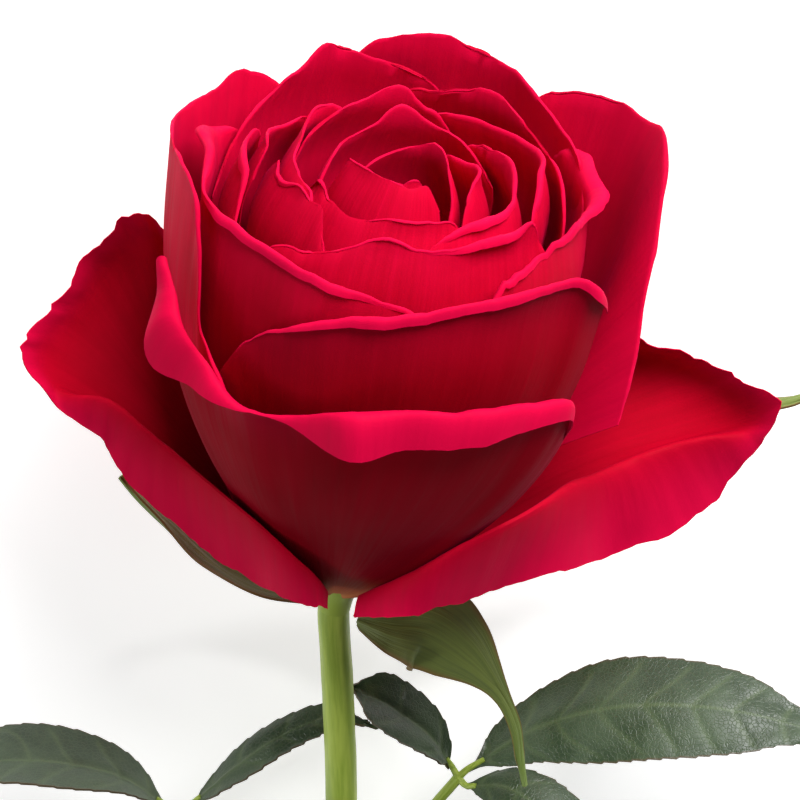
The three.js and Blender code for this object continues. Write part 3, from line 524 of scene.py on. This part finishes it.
# Columns of [valley, ridge, edge], each [azimuth, radius, height]
openPetals = {
    "guard_petal_left": {
        "ragged": 0.8, "lift": 5,
        "columns": [
            [[-118, 29, 24], [-122, 34.6, 36], [-124, 36.4, 39]],
            [[-112, 29, 24], [-113, 36, 42], [-113, 39, 46.5]],
            [[-106, 29, 22], [-109, 41, 38], [-109, 44.5, 39.5]],
            [[-100, 29, 20], [-101, 43.5, 32], [-101, 47.2, 32.5]],
            [[-95, 28.5, 18], [-93, 46, 28.5], [-92, 49.8, 29.4]],
            [[-90, 28, 16], [-87, 43.5, 26], [-90, 43.5, 22]],
            [[-84, 27, 15], [-83, 37.5, 27.2], [-88, 37.5, 19]],
            [[-77, 25.5, 13], [-76, 33, 26], [-84, 33.5, 14.5]],
            [[-68, 23, 12], [-65, 28.5, 24], [-72, 26, 10]],
            [[-55, 20.5, 10], [-50, 27, 23.5], [-60, 20.5, 6.5]],
            [[-40, 18.5, 9], [-34, 26, 21.6], [-44, 17, 4.5]],
            [[-27, 15.5, 6], [-18, 22.4, 15], [-18, 17, 5.5]],
            [[-17, 11.4, 3.2], [-10, 14.6, 6.4], [-10, 11.6, 1.8]],
        ]},
    "guard_petal_right": {
        "ragged": 0.8, "lift": 6,
        "columns": [
            [[120, 30, 26], [118, 36, 35], [119, 38, 38]],
            [[114, 31, 25], [110, 39.5, 36], [110, 41, 37.5]],
            [[108, 32, 24], [105, 46, 34.5], [106, 48, 36]],
            [[103, 32, 22], [99, 51, 33.5], [100, 53.5, 35.5]],
            [[98, 31.5, 20], [95, 54, 32.5], [95, 57.5, 36]],
            [[94, 31, 19], [92, 53.5, 32], [95, 56.5, 29]],
            [[90, 30, 18], [90, 48, 31], [96, 53.5, 21.5]],
            [[86, 29, 17], [88, 43, 29.7], [94, 50.7, 17.6]],
            [[81, 28, 16], [84, 37, 27.6], [90, 44, 13.5]],
            [[75, 26, 15], [77, 33, 27], [86, 37, 11]],
            [[66, 24.8, 12.6], [67, 30.4, 27.5], [74, 31, 11.5]],
            [[54, 23.6, 11], [50, 28.8, 26.5], [60, 24, 9.3]],
            [[40, 21.2, 10], [33, 26.6, 23], [42, 21, 8]],
            [[27, 18.2, 8], [20, 22.8, 16], [25, 19.2, 6.5]],
            [[15, 13.4, 3.5], [7, 15.6, 7.2], [6, 13, 2]],
        ]},
    "guard_petal_small": {
        "seat": 1.3,
        "columns": [
            [[30, 9, -0.8], [30, 12, 1.2], [30, 13.4, 3.4]],
            [[44, 10.6, -0.5], [44, 15, 2.2], [44, 17, 4.8]],
            [[60, 11.2, -0.3], [62, 16, 2.4], [63, 18.4, 5.2]],
            [[78, 10, -0.6], [78, 14, 1.6], [78, 16, 4.2]],
        ]},
    "guard_petal_back_left": {
        "columns": [
            [[-130, 28, 20], [-131, 35, 34], [-131, 37.5, 35]],
            [[-141, 28, 20], [-141, 38.5, 41], [-141, 41.5, 41]],
            [[-151, 28.5, 19], [-151, 40, 44], [-151, 43.2, 43.5]],
            [[-164, 28, 18], [-165, 35, 41], [-165, 37.6, 41]],
            [[-174, 28, 16], [-175, 33, 34], [-176, 35, 34]],
        ]},
    "guard_petal_back_right": {
        "columns": [
            [[127, 28, 20], [128, 35, 36], [128, 37.5, 37]],
            [[138, 27.5, 20], [138, 37.5, 42], [138, 41, 42]],
            [[150, 27, 19], [150, 39.6, 45], [150, 43.2, 44]],
            [[163, 26.5, 18], [163, 35, 41], [164, 37.4, 40.5]],
            [[172, 26, 16], [173, 32, 33], [174, 34.5, 33]],
        ]},
}


def attachment(azimuth, share):
    # where a petal of the given share of the cup is attached: on a dome over the hip
    angle = math.radians(share * 90)
    return headPoint(azimuth, receptacle["radius"] * math.sin(angle) + 0.4,
                     receptacle["height"] * math.cos(angle))


# Where the rolled lip starts up the petal, and how the wall below it already leans out
lip = {"start": 0.8, "flare": 0.4, "flareDepth": 7, "plain": [0.2, 0, 0]}


def lipPoint(radius, height, out, down, t):
    # the rolled lip, a Bezier from the top of the wall out and over
    knots = ((radius + lip["flare"] * out, height), (radius + 0.6 * out, height + 0.3 * out),
             (radius + 0.92 * out, height + 0.3 * out - 0.1 * down), (radius + out, height - down))
    shares = ((1 - t) ** 3, 3 * t * (1 - t) ** 2, 3 * t * t * (1 - t), t ** 3)
    return (sum(s * k[0] for s, k in zip(shares, knots)), sum(s * k[1] for s, k in zip(shares, knots)))


# Inner petals lean in towards the heart at their rims, so their walls swell out below
belly = {"most": 2.8, "shares": (0.6, 1.0), "depth": 9, "end": 45}


def bellyAt(depth):
    if depth < belly["depth"]:
        return math.sin(math.radians(90 * max(depth, 0) / belly["depth"]))
    return smooth(belly["end"], belly["depth"], depth)


def standingPetal(rim, waist=(0, 0), root=0.3, ragged=0.3, seed=0):
    rows = [[*row, *lip["plain"][len(row) - 3:]] for row in rim]
    rimAt = curveThrough(rows, headDistance)
    length = sum(headDistance(a, b) for a, b in zip(rows, rows[1:]))
    middle = rimAt(0.5)[0]
    top = sum(rimAt(0.25 + 0.1 * i)[2] for i in range(6)) / 6
    seen = {}

    def column(u):
        if u not in seen:
            row = rimAt(u)
            place = u * length
            coarse = noise.noise((place / 3.1, seed, 0))
            fine = noise.noise((place / 1.2, seed, 5))
            row[3] *= 0.7 + 0.6 * noise.noise((place / 8, seed, 11))
            row[2] += ragged * (coarse + 0.5 * fine)
            seen[u] = row
        return seen[u]

    def surface(u, v):
        azimuth, radius, height, out, down, sideways = column(u)
        share = radius / lookUp(cupProfile, height)
        swell = belly["most"] * (1 - smooth(*belly["shares"], share))
        if v > lip["start"]:
            roll = (v - lip["start"]) / (1 - lip["start"])
            r, h = lipPoint(radius + swell * bellyAt(top - height), height, out, down, roll)
            return headPoint(azimuth + sideways * roll, r, h)
        foot = attachment(middle + (azimuth - middle) * root, share)
        t = v / lip["start"]
        spread = root + (1 - root) * math.sin(math.radians(t * 90))
        h = foot.z + (height - foot.z) * t
        pinch = (waist[0] + (waist[1] - waist[0]) * u) * math.sin(math.pi * t ** 1.5)
        pinch -= lip["flare"] * out * max(0, 1 - (height - h) / lip["flareDepth"]) ** 2
        pinch -= swell * bellyAt(top - h)
        wall = headPoint(middle + (azimuth - middle) * spread, share * lookUp(cupProfile, h) - pinch, h)
        return foot.lerp(wall, math.sin(math.radians(90 * min(t / 0.24, 1))))
    return surface, length


def openPetal(columns, root=0.35, seat=1.2, ragged=0.4, seed=0, lift=0):
    rows = [[n for knot in column for n in knot] for column in columns]
    columnAt = curveThrough(rows, lambda p, q: headDistance(p[3:6], q[3:6]) + headDistance(p[6:], q[6:]))
    length = sum(headDistance(a[3:6], b[3:6]) for a, b in zip(rows, rows[1:]))
    middle = columnAt(0.5)[3]
    seen = {}

    def surface(u, v):
        if u not in seen:
            row = columnAt(u)
            place = u * length
            coarse = noise.noise((place / 3.4, seed, 0))
            fine = noise.noise((place / 1.3, seed, 5))
            knots = [attachment(middle + (row[0] - middle) * root, seat), headPoint(*row[:3]),
                     headPoint(*row[3:6]), headPoint(*row[6:])]
            rag = ragged * (coarse + 0.6 * fine)
            knots[3] += (knots[3] - knots[2]).normalized() * rag + lift * frontUp
            seen[u] = knots
        return splinePoint(seen[u], v)
    return surface, length


# The age sets a petal's tone, from 0 in the heart to 1 for the guard petals; older petals are darker
# outside, partly their own colour and partly painted shade. Some outer petals have an age of their own,
# which paints shade on some and light on outer_petal_6
petalAgeAndShade = {"heart": 0.0, "inner": 0.1, "middle": 0.3, "outer": 0.4, "guard": 1.0,
            "outer_petal_4": 0.45, "outer_petal_5": 0.85, "outer_petal_6": 0.1, "outer_petal_7": 0.89,
            "outer_petal_8": 0.85}
petalMake = {"thickness": 0.42, "rimThickness": 0.14, "cell": 0.75, "fewestCells": 30, "mostCells": 120,
             "rows": 44, "ruffle": 0.45, "fineRuffle": 0.1}


def makePetal(node, shape, turned, seed, material):
    surface, length = shape

    def thickness(u, v):
        inner = smooth(0, 0.06, min(u, 1 - u)) * smooth(1, 0.8, v)
        return petalMake["rimThickness"] + (petalMake["thickness"] - petalMake["rimThickness"]) * inner

    def relief(u, v):
        place = u * length
        wave = noise.noise((place / 9, v * 2.2, seed)) * petalMake["ruffle"] * v * v
        fine = noise.noise((place / 2.6, v * 3, seed + 9)) * petalMake["fineRuffle"] * v
        return wave + fine
    cells = max(petalMake["fewestCells"], min(petalMake["mostCells"], round(length / petalMake["cell"])))
    bm = blade(surface, cells, petalMake["rows"], headPlace, thickness, relief, turned)
    # every vertex gets the petal's age, which also carries painted shade or light
    layer = bm.verts.layers.float.new("ageAndShade")
    for vert in bm.verts:
        vert[layer] = petalAgeAndShade.get(node, petalAgeAndShade[node.split("_")[0]])
    addPiece(node, bm, [material])


def makePetals():
    material = petalVelvet()
    for seed, (node, petal) in enumerate(standingPetals.items()):
        turned = petal["rim"][-1][0] < petal["rim"][0][0]
        makePetal(node, standingPetal(seed=seed * 7.3, **petal), turned, seed, material)
    for seed, (node, petal) in enumerate(openPetals.items(), 40):
        turned = petal["columns"][-1][1][0] < petal["columns"][0][1][0]
        makePetal(node, openPetal(seed=seed * 7.3, **petal), turned, seed, material)
    print("petals made")


# [azimuth, radius, height] down the middle
sepals = {
    "sepal_front": {
        "side": [0.75, 0.35, 0.55], "halfWidths": [1.4, 4.5, 7, 5.6, 2.6, 1.3, 1, 0.8, 0.5],
        "middle": [[52, 4.6, -5.9], [64, 9.6, -5.2], [72, 14.4, -4.8], [79, 19.6, -8.4],
                   [83, 24.6, -13.4], [85, 27.5, -17.4], [86, 30.2, -22.6], [87, 31.9, -28.4],
                   [88, 33.7, -34.2]]},
    "sepal_right": {
        "side": [0, 1, 0.1], "halfWidths": [1.5, 4.6, 4.5, 3.4, 2.2, 1.4, 0.7],
        "middle": [[115, 4, -5.2], [113, 15, -3], [111, 27, 8.4], [107, 38.5, 21.4], [102.5, 50, 29.2],
                   [98, 59, 33.5], [97, 68, 37.5]]},
    "sepal_left": {
        "side": [0, 1, -0.2], "halfWidths": [1.5, 3.4, 3, 2, 0.8],
        "middle": [[-76, 4, -5.2], [-84, 12, -4], [-92, 20, -1.4], [-96, 27.5, 3.6], [-98, 34, 8.6]]},
    "sepal_back_left": {
        "side": [0.75, 0.66, 0], "halfWidths": [1.5, 4, 4.2, 3, 0.8],
        "middle": [[-140, 4, -5.2], [-141, 13, -5.4], [-142, 22, -2.6], [-142, 29, 3.6],
                   [-142, 34, 10]]},
    "sepal_back_right": {
        "side": [1, -0.2, 0], "halfWidths": [1.5, 4, 4.2, 3, 0.8],
        "middle": [[168, 4, -5.2], [168, 12, -6], [168, 19, -4.4], [168, 25, 0.2], [168, 29, 6]]},
}


def ribbon(middle, halfWidths, side, fold=0, teeth=0, toothSize=0.0, tip=0.12, base=0.04):
    # a leaf-like blade: points down its middle, half widths and its sideways direction
    knots = [Vector(p) for p in middle]
    widths = [(i / (len(halfWidths) - 1), w) for i, w in enumerate(halfWidths)]
    across = Vector(side).normalized()
    seen = {}

    def row(v):
        if v not in seen:
            step = 0.004
            ahead, behind = splinePoint(knots, min(v + step, 1)), splinePoint(knots, max(v - step, 0))
            tangent = (ahead - behind).normalized()
            flat = (across - tangent * across.dot(tangent)).normalized()
            width = lookUp(widths, v)
            width *= smooth(-0.02, base, v) * min(max(1 - v, 0) / tip, 1) ** 0.7
            tooth = toothSize * ((v * teeth) % 1 - 0.4) * smooth(0.02, 0.1, v) if teeth else 0
            seen[v] = splinePoint(knots, v), flat, flat.cross(tangent), max(width, 0.12), tooth
        return seen[v]

    def surface(u, v):
        point, flat, face, width, tooth = row(v)
        s = 2 * u - 1
        reach = s * (width + tooth * abs(s) ** 5)
        return point + flat * reach + face * fold * abs(reach)
    return surface, row


def makeSepals():
    material = sepalGreen()
    for seed, (node, sepal) in enumerate(sepals.items()):
        middle = [headPoint(*row) for row in sepal["middle"]]
        length = sum((b - a).length for a, b in zip(middle, middle[1:]))
        surface, row = ribbon(middle, sepal["halfWidths"], sepal["side"], fold=0.12, base=0.01)

        def relief(u, v):
            s = 2 * u - 1
            ribs = 0.12 * math.cos(s * 9) * (1 - abs(s))
            return ribs + 0.5 * noise.noise((u * 1.5, v * length / 9, seed + 0.5))
        bm = blade(surface, 20, max(60, round(length / 0.6)), headPlace,
                   lambda u, v: 0.35 + 0.55 * smooth(1, 0.2, abs(2 * u - 1)), relief)
        addPiece(node, bm, [material])
    print("sepals made")


def tube(points, radiusAt, sides, rings):
    # a closed round tube: a grid rolled up, its seam merged and its ends filled
    line = evenSpline(points)
    bm = bmesh.new()
    bm.loops.layers.uv.new("blade")
    bmesh.ops.create_grid(bm, x_segments=sides, y_segments=rings, size=0.5, calc_uvs=True)
    for vert in bm.verts:
        turn, share = (vert.co.x + 0.5) * 2 * math.pi, vert.co.y + 0.5
        tangent = (line(share + 0.005) - line(share - 0.005)).normalized()
        right = Vector((0, 1, 0)).cross(tangent).normalized()
        ahead = tangent.cross(right)
        radius = radiusAt(share, turn)
        vert.co = line(share) + (right * math.cos(turn) + ahead * math.sin(turn)) * radius
    bmesh.ops.remove_doubles(bm, verts=bm.verts[:], dist=0.0005)
    openEdges = [e for e in bm.edges if e.is_boundary]
    ends = bmesh.ops.holes_fill(bm, edges=openEdges, sides=0)["faces"]
    bmesh.ops.recalc_face_normals(bm, faces=bm.faces[:])
    return bm, ends


def makeHip():
    bm = bmesh.new()
    profile = [(z, r) for r, z in hip["outline"][1:]]
    low, high = profile[0][0], profile[-1][0]
    heights = [low + (high - low) * i / 24 for i in range(25)]
    verts = [bm.verts.new((r, 0, z)) for r, z in [(0, low)] + [(lookUp(profile, z), z) for z in heights]]
    edges = [bm.edges.new(pair) for pair in zip(verts, verts[1:])]
    bmesh.ops.spin(bm, geom=verts + edges, cent=(0, 0, 0), axis=(0, 0, 1), angle=2 * math.pi, steps=40,
                   use_merge=True)
    bmesh.ops.remove_doubles(bm, verts=bm.verts[:], dist=0.001)
    bm.normal_update()
    bmesh.ops.recalc_face_normals(bm, faces=bm.faces[:])
    bmesh.ops.transform(bm, matrix=headPlace, verts=bm.verts[:])
    bm.loops.layers.uv.new("blade")
    addPiece("hip", bm, [stemSkin("hipSkin")])


stem = {"path": [(-0.7, 0, -4.6), (-1, 0, -6.8), (-0.6, 0, -20), (-0.2, 0, -43), (-1.6, 0.8, -90),
                 (0, 1.8, -140), (3, 1, -190), (5, 0, -228)],
        "nodes": [-84, -101, -158], "swelling": 0.7,
        "prickles": [(-58, 200), (-84, 20), (-101, 150), (-128, 280), (-160, 60), (-176, 190), (-204, 330)],
        "prickleLength": 5.2, "prickleRoot": 1.9}


def stemRadius(share, turn):
    z = stem["path"][0][2] * (1 - share) + stem["path"][-1][2] * share
    radius = plant["stemTop"] + (plant["stemFoot"] - plant["stemTop"]) * share
    for at in stem["nodes"]:
        radius += stem["swelling"] * math.exp(-((z - at) / 4) ** 2)
    grain = noise.noise((share * 40, math.cos(turn), math.sin(turn)))
    return radius + 0.05 * math.sin(5 * turn + share * 6) + 0.08 * grain


def prickle(place):
    # a flat-sided hooked prickle, its tip bent towards the foot of the stem
    bm = bmesh.new()
    rings = 9
    bmesh.ops.create_cone(bm, segments=14, radius1=1, radius2=1, depth=1, cap_ends=True)
    upright = [e for e in bm.edges if abs(e.verts[0].co.z - e.verts[1].co.z) > 0.5]
    bmesh.ops.subdivide_edges(bm, edges=upright, cuts=rings)
    for vert in bm.verts:
        t = vert.co.z + 0.5
        width = stem["prickleRoot"] * ((1 - t) ** 1.7 * 0.94 + 0.05)
        vert.co = Vector((vert.co.x * width * 1.5 - 1.6 * t * t, vert.co.y * width * 0.6,
                          stem["prickleLength"] * t))
    bmesh.ops.transform(bm, matrix=place, verts=bm.verts[:])
    mesh = bpy.data.meshes.new("pricklePart")
    bm.to_mesh(mesh)
    bm.free()
    return mesh


def addFrom(bm, mesh, materialIndex):
    # joins another mesh in, with its own material
    before = len(bm.faces)
    bm.from_mesh(mesh)
    bm.faces.ensure_lookup_table()
    for face in bm.faces[before:]:
        face.material_index = materialIndex
    bpy.data.meshes.remove(mesh)


def makeStem():
    line = evenSpline(stem["path"])
    top, foot = stem["path"][0][2], stem["path"][-1][2]
    bm, ends = tube(stem["path"], stemRadius, 32, 260)
    for face in ends:
        face.material_index = 1
    for z, turn in stem["prickles"]:
        share = (top - z) / (top - foot)
        # the prickle's own X runs up the stem, so its bent tip looks down
        out = Matrix.Rotation(math.radians(turn), 4, "Z")
        lift = Matrix.Translation((stemRadius(share, 0) - 0.35, 0, 0))
        upright = Matrix(((0, 0, 1, 0), (0, 1, 0, 0), (1, 0, 0, 0), (0, 0, 0, 1)))
        addFrom(bm, prickle(Matrix.Translation(line(share)) @ out @ lift @ upright), 2)
    bmesh.ops.recalc_face_normals(bm, faces=bm.faces[:])
    bmesh.ops.transform(bm, matrix=plantPlace, verts=bm.verts[:])
    addPiece("stem", bm, [stemSkin(), cutPith(), prickleHorn()])
    print("hip and stem made")


leaves = {
    "a": {
        "stalk": [[3.4, 2.6, -79], [7.5, 5.5, -66], [13, 8.6, -53.5], [18, 9.6, -46.4]],
        "leaflets": [
            {"side": [-0.15, 0.87, 0.47], "halfWidths": [0.8, 5, 8.2, 8.6, 6.8, 3.8, 0.8],
             "middle": [[19.4, 9.9, -45], [30, 12, -38.5], [43, 11, -33.4], [57, 9, -32],
                        [70, 6.5, -33.5], [82, 3, -37]]},
            {"side": [0.2, 0.87, 0.47], "halfWidths": [0.8, 3.8, 4.8, 4, 0.8],
             "middle": [[17, 10.4, -44.8], [13.5, 10.4, -38.6], [8.5, 10.6, -34], [4, 11, -31],
                        [0.5, 11.2, -29.6]]},
            {"side": [0.4, 0.8, 0.4], "halfWidths": [0.8, 4, 5.5, 4.4, 0.8],
             "middle": [[19.2, 8.4, -47], [25.5, 5, -44.6], [31.5, 0.5, -46], [37, -3, -50],
                        [42, -6, -56]]},
        ]},
    "b": {
        "stalk": [[-5.6, 2.4, -96], [-11.5, 4.5, -76], [-20, 6, -60], [-26, 6.4, -51.5]],
        "leaflets": [
            {"side": [0, 1, -0.05], "halfWidths": [0.8, 5, 7.5, 7.6, 6, 3.4, 0.8],
             "middle": [[-27.6, 6.2, -49.4], [-35, 5.8, -43], [-46, 5, -39.4], [-57, 4, -39],
                        [-68, 2.6, -41.4], [-78, 1, -46]]},
            {"side": [0.3, 0.7, 0.6], "halfWidths": [0.8, 2.8, 2.8, 2, 0.6],
             "middle": [[-24.4, 6.4, -49.6], [-17, 6.8, -42], [-9, 8.2, -36.4], [-1, 8.6, -33.4],
                        [5.4, 7.6, -34.8]]},
            {"side": [0.2, 0.95, -0.2], "halfWidths": [0.8, 5, 6.4, 4.6, 0.8],
             "middle": [[-27.8, 6, -52.6], [-35, 4.6, -58], [-43.5, 3, -63.6], [-52, 1, -69],
                        [-60, -1, -76]]},
        ]},
    "c": {
        "stalk": [[5, 3.4, -152], [14, 6, -138], [25, 8, -124], [36, 9, -111]],
        "leaflets": [
            {"side": [-0.5, 0.8, 0.4], "halfWidths": [0.8, 6, 9, 8, 4.6, 0.8],
             "middle": [[37.4, 9.2, -108.8], [44, 9.6, -101], [53, 9, -92], [62, 7.6, -84],
                        [70, 5.6, -77.6], [77, 3, -73]]},
            {"side": [0.9, 0.4, 0.1], "halfWidths": [0.8, 5, 6.6, 4.8, 0.8],
             "middle": [[29.6, 9, -114.6], [28.6, 9.6, -106], [29, 9.4, -96], [31, 8.6, -86.6],
                        [34, 7, -78]]},
            {"side": [-0.1, 0.8, 0.6], "halfWidths": [0.8, 5, 6.6, 4.8, 0.8],
             "middle": [[34.6, 8.4, -117], [43, 8, -118.6], [53, 7, -119], [62.6, 5.4, -118],
                        [71, 3, -116]]},
            {"side": [0.9, 0.4, 0.1], "halfWidths": [0.8, 4, 5.4, 4, 0.8],
             "middle": [[17.4, 7.6, -129], [14, 8.6, -122], [13, 9, -113.6], [14, 8.8, -105.6],
                        [16.6, 8, -98]]},
            {"side": [-0.1, 0.8, 0.6], "halfWidths": [0.8, 4, 5.4, 4, 0.8],
             "middle": [[21.4, 6.4, -134], [29, 6, -137.4], [37, 5.2, -139], [45.6, 4, -139],
                        [53, 2, -137.4]]},
        ]},
}

leafRoots = {"a": [-1.2, 0.7, -86], "b": [-1.4, 0.9, -103], "c": [1.2, 1.6, -160]}
leafMake = {"fold": 0.16, "teethSpacing": 2.6, "toothSize": 0.32, "veinSpacing": 6.8, "cells": 28,
            "rowsPerTooth": 6, "thickness": 0.32, "midrib": 0.5, "stalk": 0.85, "twig": 0.62}


def makeLeaflet(node, leaflet, seed, material):
    middle = leaflet["middle"]
    length = sum((Vector(b) - Vector(a)).length for a, b in zip(middle, middle[1:]))
    teeth = round(length / leafMake["teethSpacing"])
    surface, row = ribbon(middle, leaflet["halfWidths"], leaflet["side"], fold=leafMake["fold"],
                          teeth=teeth, toothSize=leafMake["toothSize"], tip=0.3, base=0.1)

    def veinPlace(u, v):
        # distance from the midrib, and the count of side veins passed on the way up
        off = abs(2 * u - 1) * row(v)[3]
        wander = 0.35 * noise.noise((u * 2, v * 4, seed))
        return off, (v * length - off * 0.75) / leafMake["veinSpacing"] + wander

    def veinMark(u, v):
        off, place = veinPlace(u, v)
        lateral = math.exp(-(((place % 1) - 0.5) / 0.07) ** 2) * smooth(1, 0.75, abs(2 * u - 1))
        midrib = math.exp(-(off / (0.55 * (1.1 - v))) ** 2)
        return max(lateral * 0.75, midrib)

    def relief(u, v):
        off, place = veinPlace(u, v)
        lateral = math.exp(-(((place % 1) - 0.5) / 0.13) ** 2) * smooth(1, 0.8, abs(2 * u - 1))
        midrib = math.exp(-(off / 0.7) ** 2)
        waves = noise.noise((u * 2, v * length / 14, seed)) * 0.9 * abs(2 * u - 1)
        return waves - 0.14 * lateral - 0.4 * midrib

    def thickness(u, v):
        midrib = math.exp(-(veinPlace(u, v)[0] / 0.6) ** 2) * (1 - 0.6 * v)
        return leafMake["thickness"] + leafMake["midrib"] * midrib
    # the upper face looks forwards and up
    sideways = surface(0.6, 0.5) - surface(0.4, 0.5)
    onwards = surface(0.5, 0.6) - surface(0.5, 0.4)
    turned = sideways.cross(onwards).dot(frontUp) < 0
    rows = teeth * leafMake["rowsPerTooth"]
    bm = blade(surface, leafMake["cells"], rows, plantPlace, thickness, relief, turned)
    markFromGrid(bm, "vein", veinMark)
    addPiece(node, bm, [material], sharpAngle=60)


def addTwig(bm, path, leaflet):
    # a short twig from the nearest place on the stalk into the root of a leaflet
    root = Vector(leaflet["middle"][0])
    near = min((splinePoint([Vector(p) for p in path], s / 40) for s in range(41)),
               key=lambda p: (p - root).length)
    inner = root.lerp(Vector(leaflet["middle"][1]), 0.25)
    twig = tube([near, root, inner], lambda share, turn: leafMake["twig"] - 0.2 * share, 10, 10)[0]
    mesh = bpy.data.meshes.new("twigPart")
    twig.to_mesh(mesh)
    twig.free()
    addFrom(bm, mesh, 0)


def makeLeaves():
    green = leafGreen()
    stalkSkin = stemSkin("stalkSkin", 5)
    for letter, leaf in leaves.items():
        path = [leafRoots[letter]] + leaf["stalk"]
        bm = tube(path, lambda share, turn: leafMake["stalk"] * (1 + 0.9 * (1 - share) ** 6), 14, 60)[0]
        for i, leaflet in enumerate(leaf["leaflets"]):
            makeLeaflet(f"leaf_{letter}_leaflet_{i + 1}", leaflet, i * 3.1 + ord(letter), green)
            addTwig(bm, path, leaflet)
        bmesh.ops.transform(bm, matrix=plantPlace, verts=bm.verts[:])
        addPiece(f"leaf_{letter}_stalk", bm, [stalkSkin])
    print("leaves made")


studio = {"floorSize": 3, "floorTones": ((0.86, 0.86, 0.86), (0.9, 0.9, 0.9)), "floorGlow": 0.6,
          "world": 0.13, "aimAt": (0, 0, 35),
          "key": {"from": (0.36, 0.82, 0.46), "distance": 0.9, "size": 0.6, "power": 13},
          "fill": {"from": (-0.75, -0.15, 0.65), "distance": 1.1, "size": 0.8, "power": 2.4},
          "stem": {"from": (-0.8, -0.2, 0.5), "distance": 0.6, "size": 0.05, "power": 8,
                   "aimAt": (4, 0, -25), "spread": 11}}
view = {"elevation": 32, "distance": 450, "right": 8.82, "up": 25.284, "lens": 137.75}


def aim(towards, upwards):
    towards = towards.normalized()
    right = upwards.cross(towards).normalized()
    return Matrix((right, towards.cross(right), towards)).transposed().to_4x4()


def addLight(name, data, lamp, target):
    data.energy = lamp["power"]
    light = bpy.data.objects.new(name, data)
    bpy.context.scene.collection.objects.link(light)
    direction = Vector(lamp["from"]).normalized()
    light.matrix_world = (Matrix.Translation(target + direction * lamp["distance"])
                          @ aim(direction, Vector((0.01, 0, 1))))


def addSoftLight(name, lamp, target):
    data = bpy.data.lights.new(name, "AREA")
    data.shape = "DISK"
    data.size = lamp["size"]
    addLight(name, data, lamp, target)


def makeLights():
    middle = plantPlace @ Vector(studio["aimAt"])
    addSoftLight("keyLight", studio["key"], middle)
    spot = studio["stem"]
    data = bpy.data.lights.new("stemLight", "SPOT")
    data.spot_size = math.radians(spot["spread"])
    data.spot_blend = 1
    data.shadow_soft_size = spot["size"]
    addLight("stemLight", data, spot, plantPlace @ Vector(spot["aimAt"]))
    addSoftLight("fillLight", studio["fill"], middle)


def makeStudio():
    bm = bmesh.new()
    bmesh.ops.create_grid(bm, x_segments=1, y_segments=1, size=studio["floorSize"])
    mesh = bpy.data.meshes.new("floor")
    bm.to_mesh(mesh)
    bm.free()
    floor = bpy.data.objects.new("floor", mesh)
    bpy.context.scene.collection.objects.link(floor)
    paint, tree, shader = newMaterial("paleFloor", 0.9, 0.1)
    shade = ramp(tree, objectNoise(tree, 3), 0, 1)
    tree.links.new(mixColour(tree, shade, *studio["floorTones"]), shader.inputs["Base Color"])
    shader.inputs["Emission Color"].default_value = (1, 1, 1, 1)
    shader.inputs["Emission Strength"].default_value = studio["floorGlow"]
    mesh.materials.append(paint)
    world = bpy.data.worlds.new("studio")
    world.use_nodes = True
    world.node_tree.nodes["Background"].inputs["Color"].default_value = (1, 1, 1, 1)
    world.node_tree.nodes["Background"].inputs["Strength"].default_value = studio["world"]
    bpy.context.scene.world = world
    bpy.context.scene.view_settings.view_transform = "Standard"


def makeCamera():
    e = math.radians(view["elevation"])
    towards = Vector((0, -math.cos(e), math.sin(e)))
    upwards = Vector((0, math.sin(e), math.cos(e)))
    target = Vector((view["right"], 0, 0)) + upwards * view["up"]
    data = bpy.data.cameras.new("camera")
    data.lens = view["lens"]
    data.clip_start = 0.01
    camera = bpy.data.objects.new("camera", data)
    bpy.context.scene.collection.objects.link(camera)
    turn = plantTurn.to_3x3()
    facing = aim(turn @ towards, turn @ upwards)
    camera.matrix_world = Matrix.Translation(plantPlace @ (target + towards * view["distance"])) @ facing
    bpy.context.scene.camera = camera


makeStudio()
makeCamera()
makeLights()
makePetals()
makeSepals()
makeHip()
makeStem()
makeLeaves()
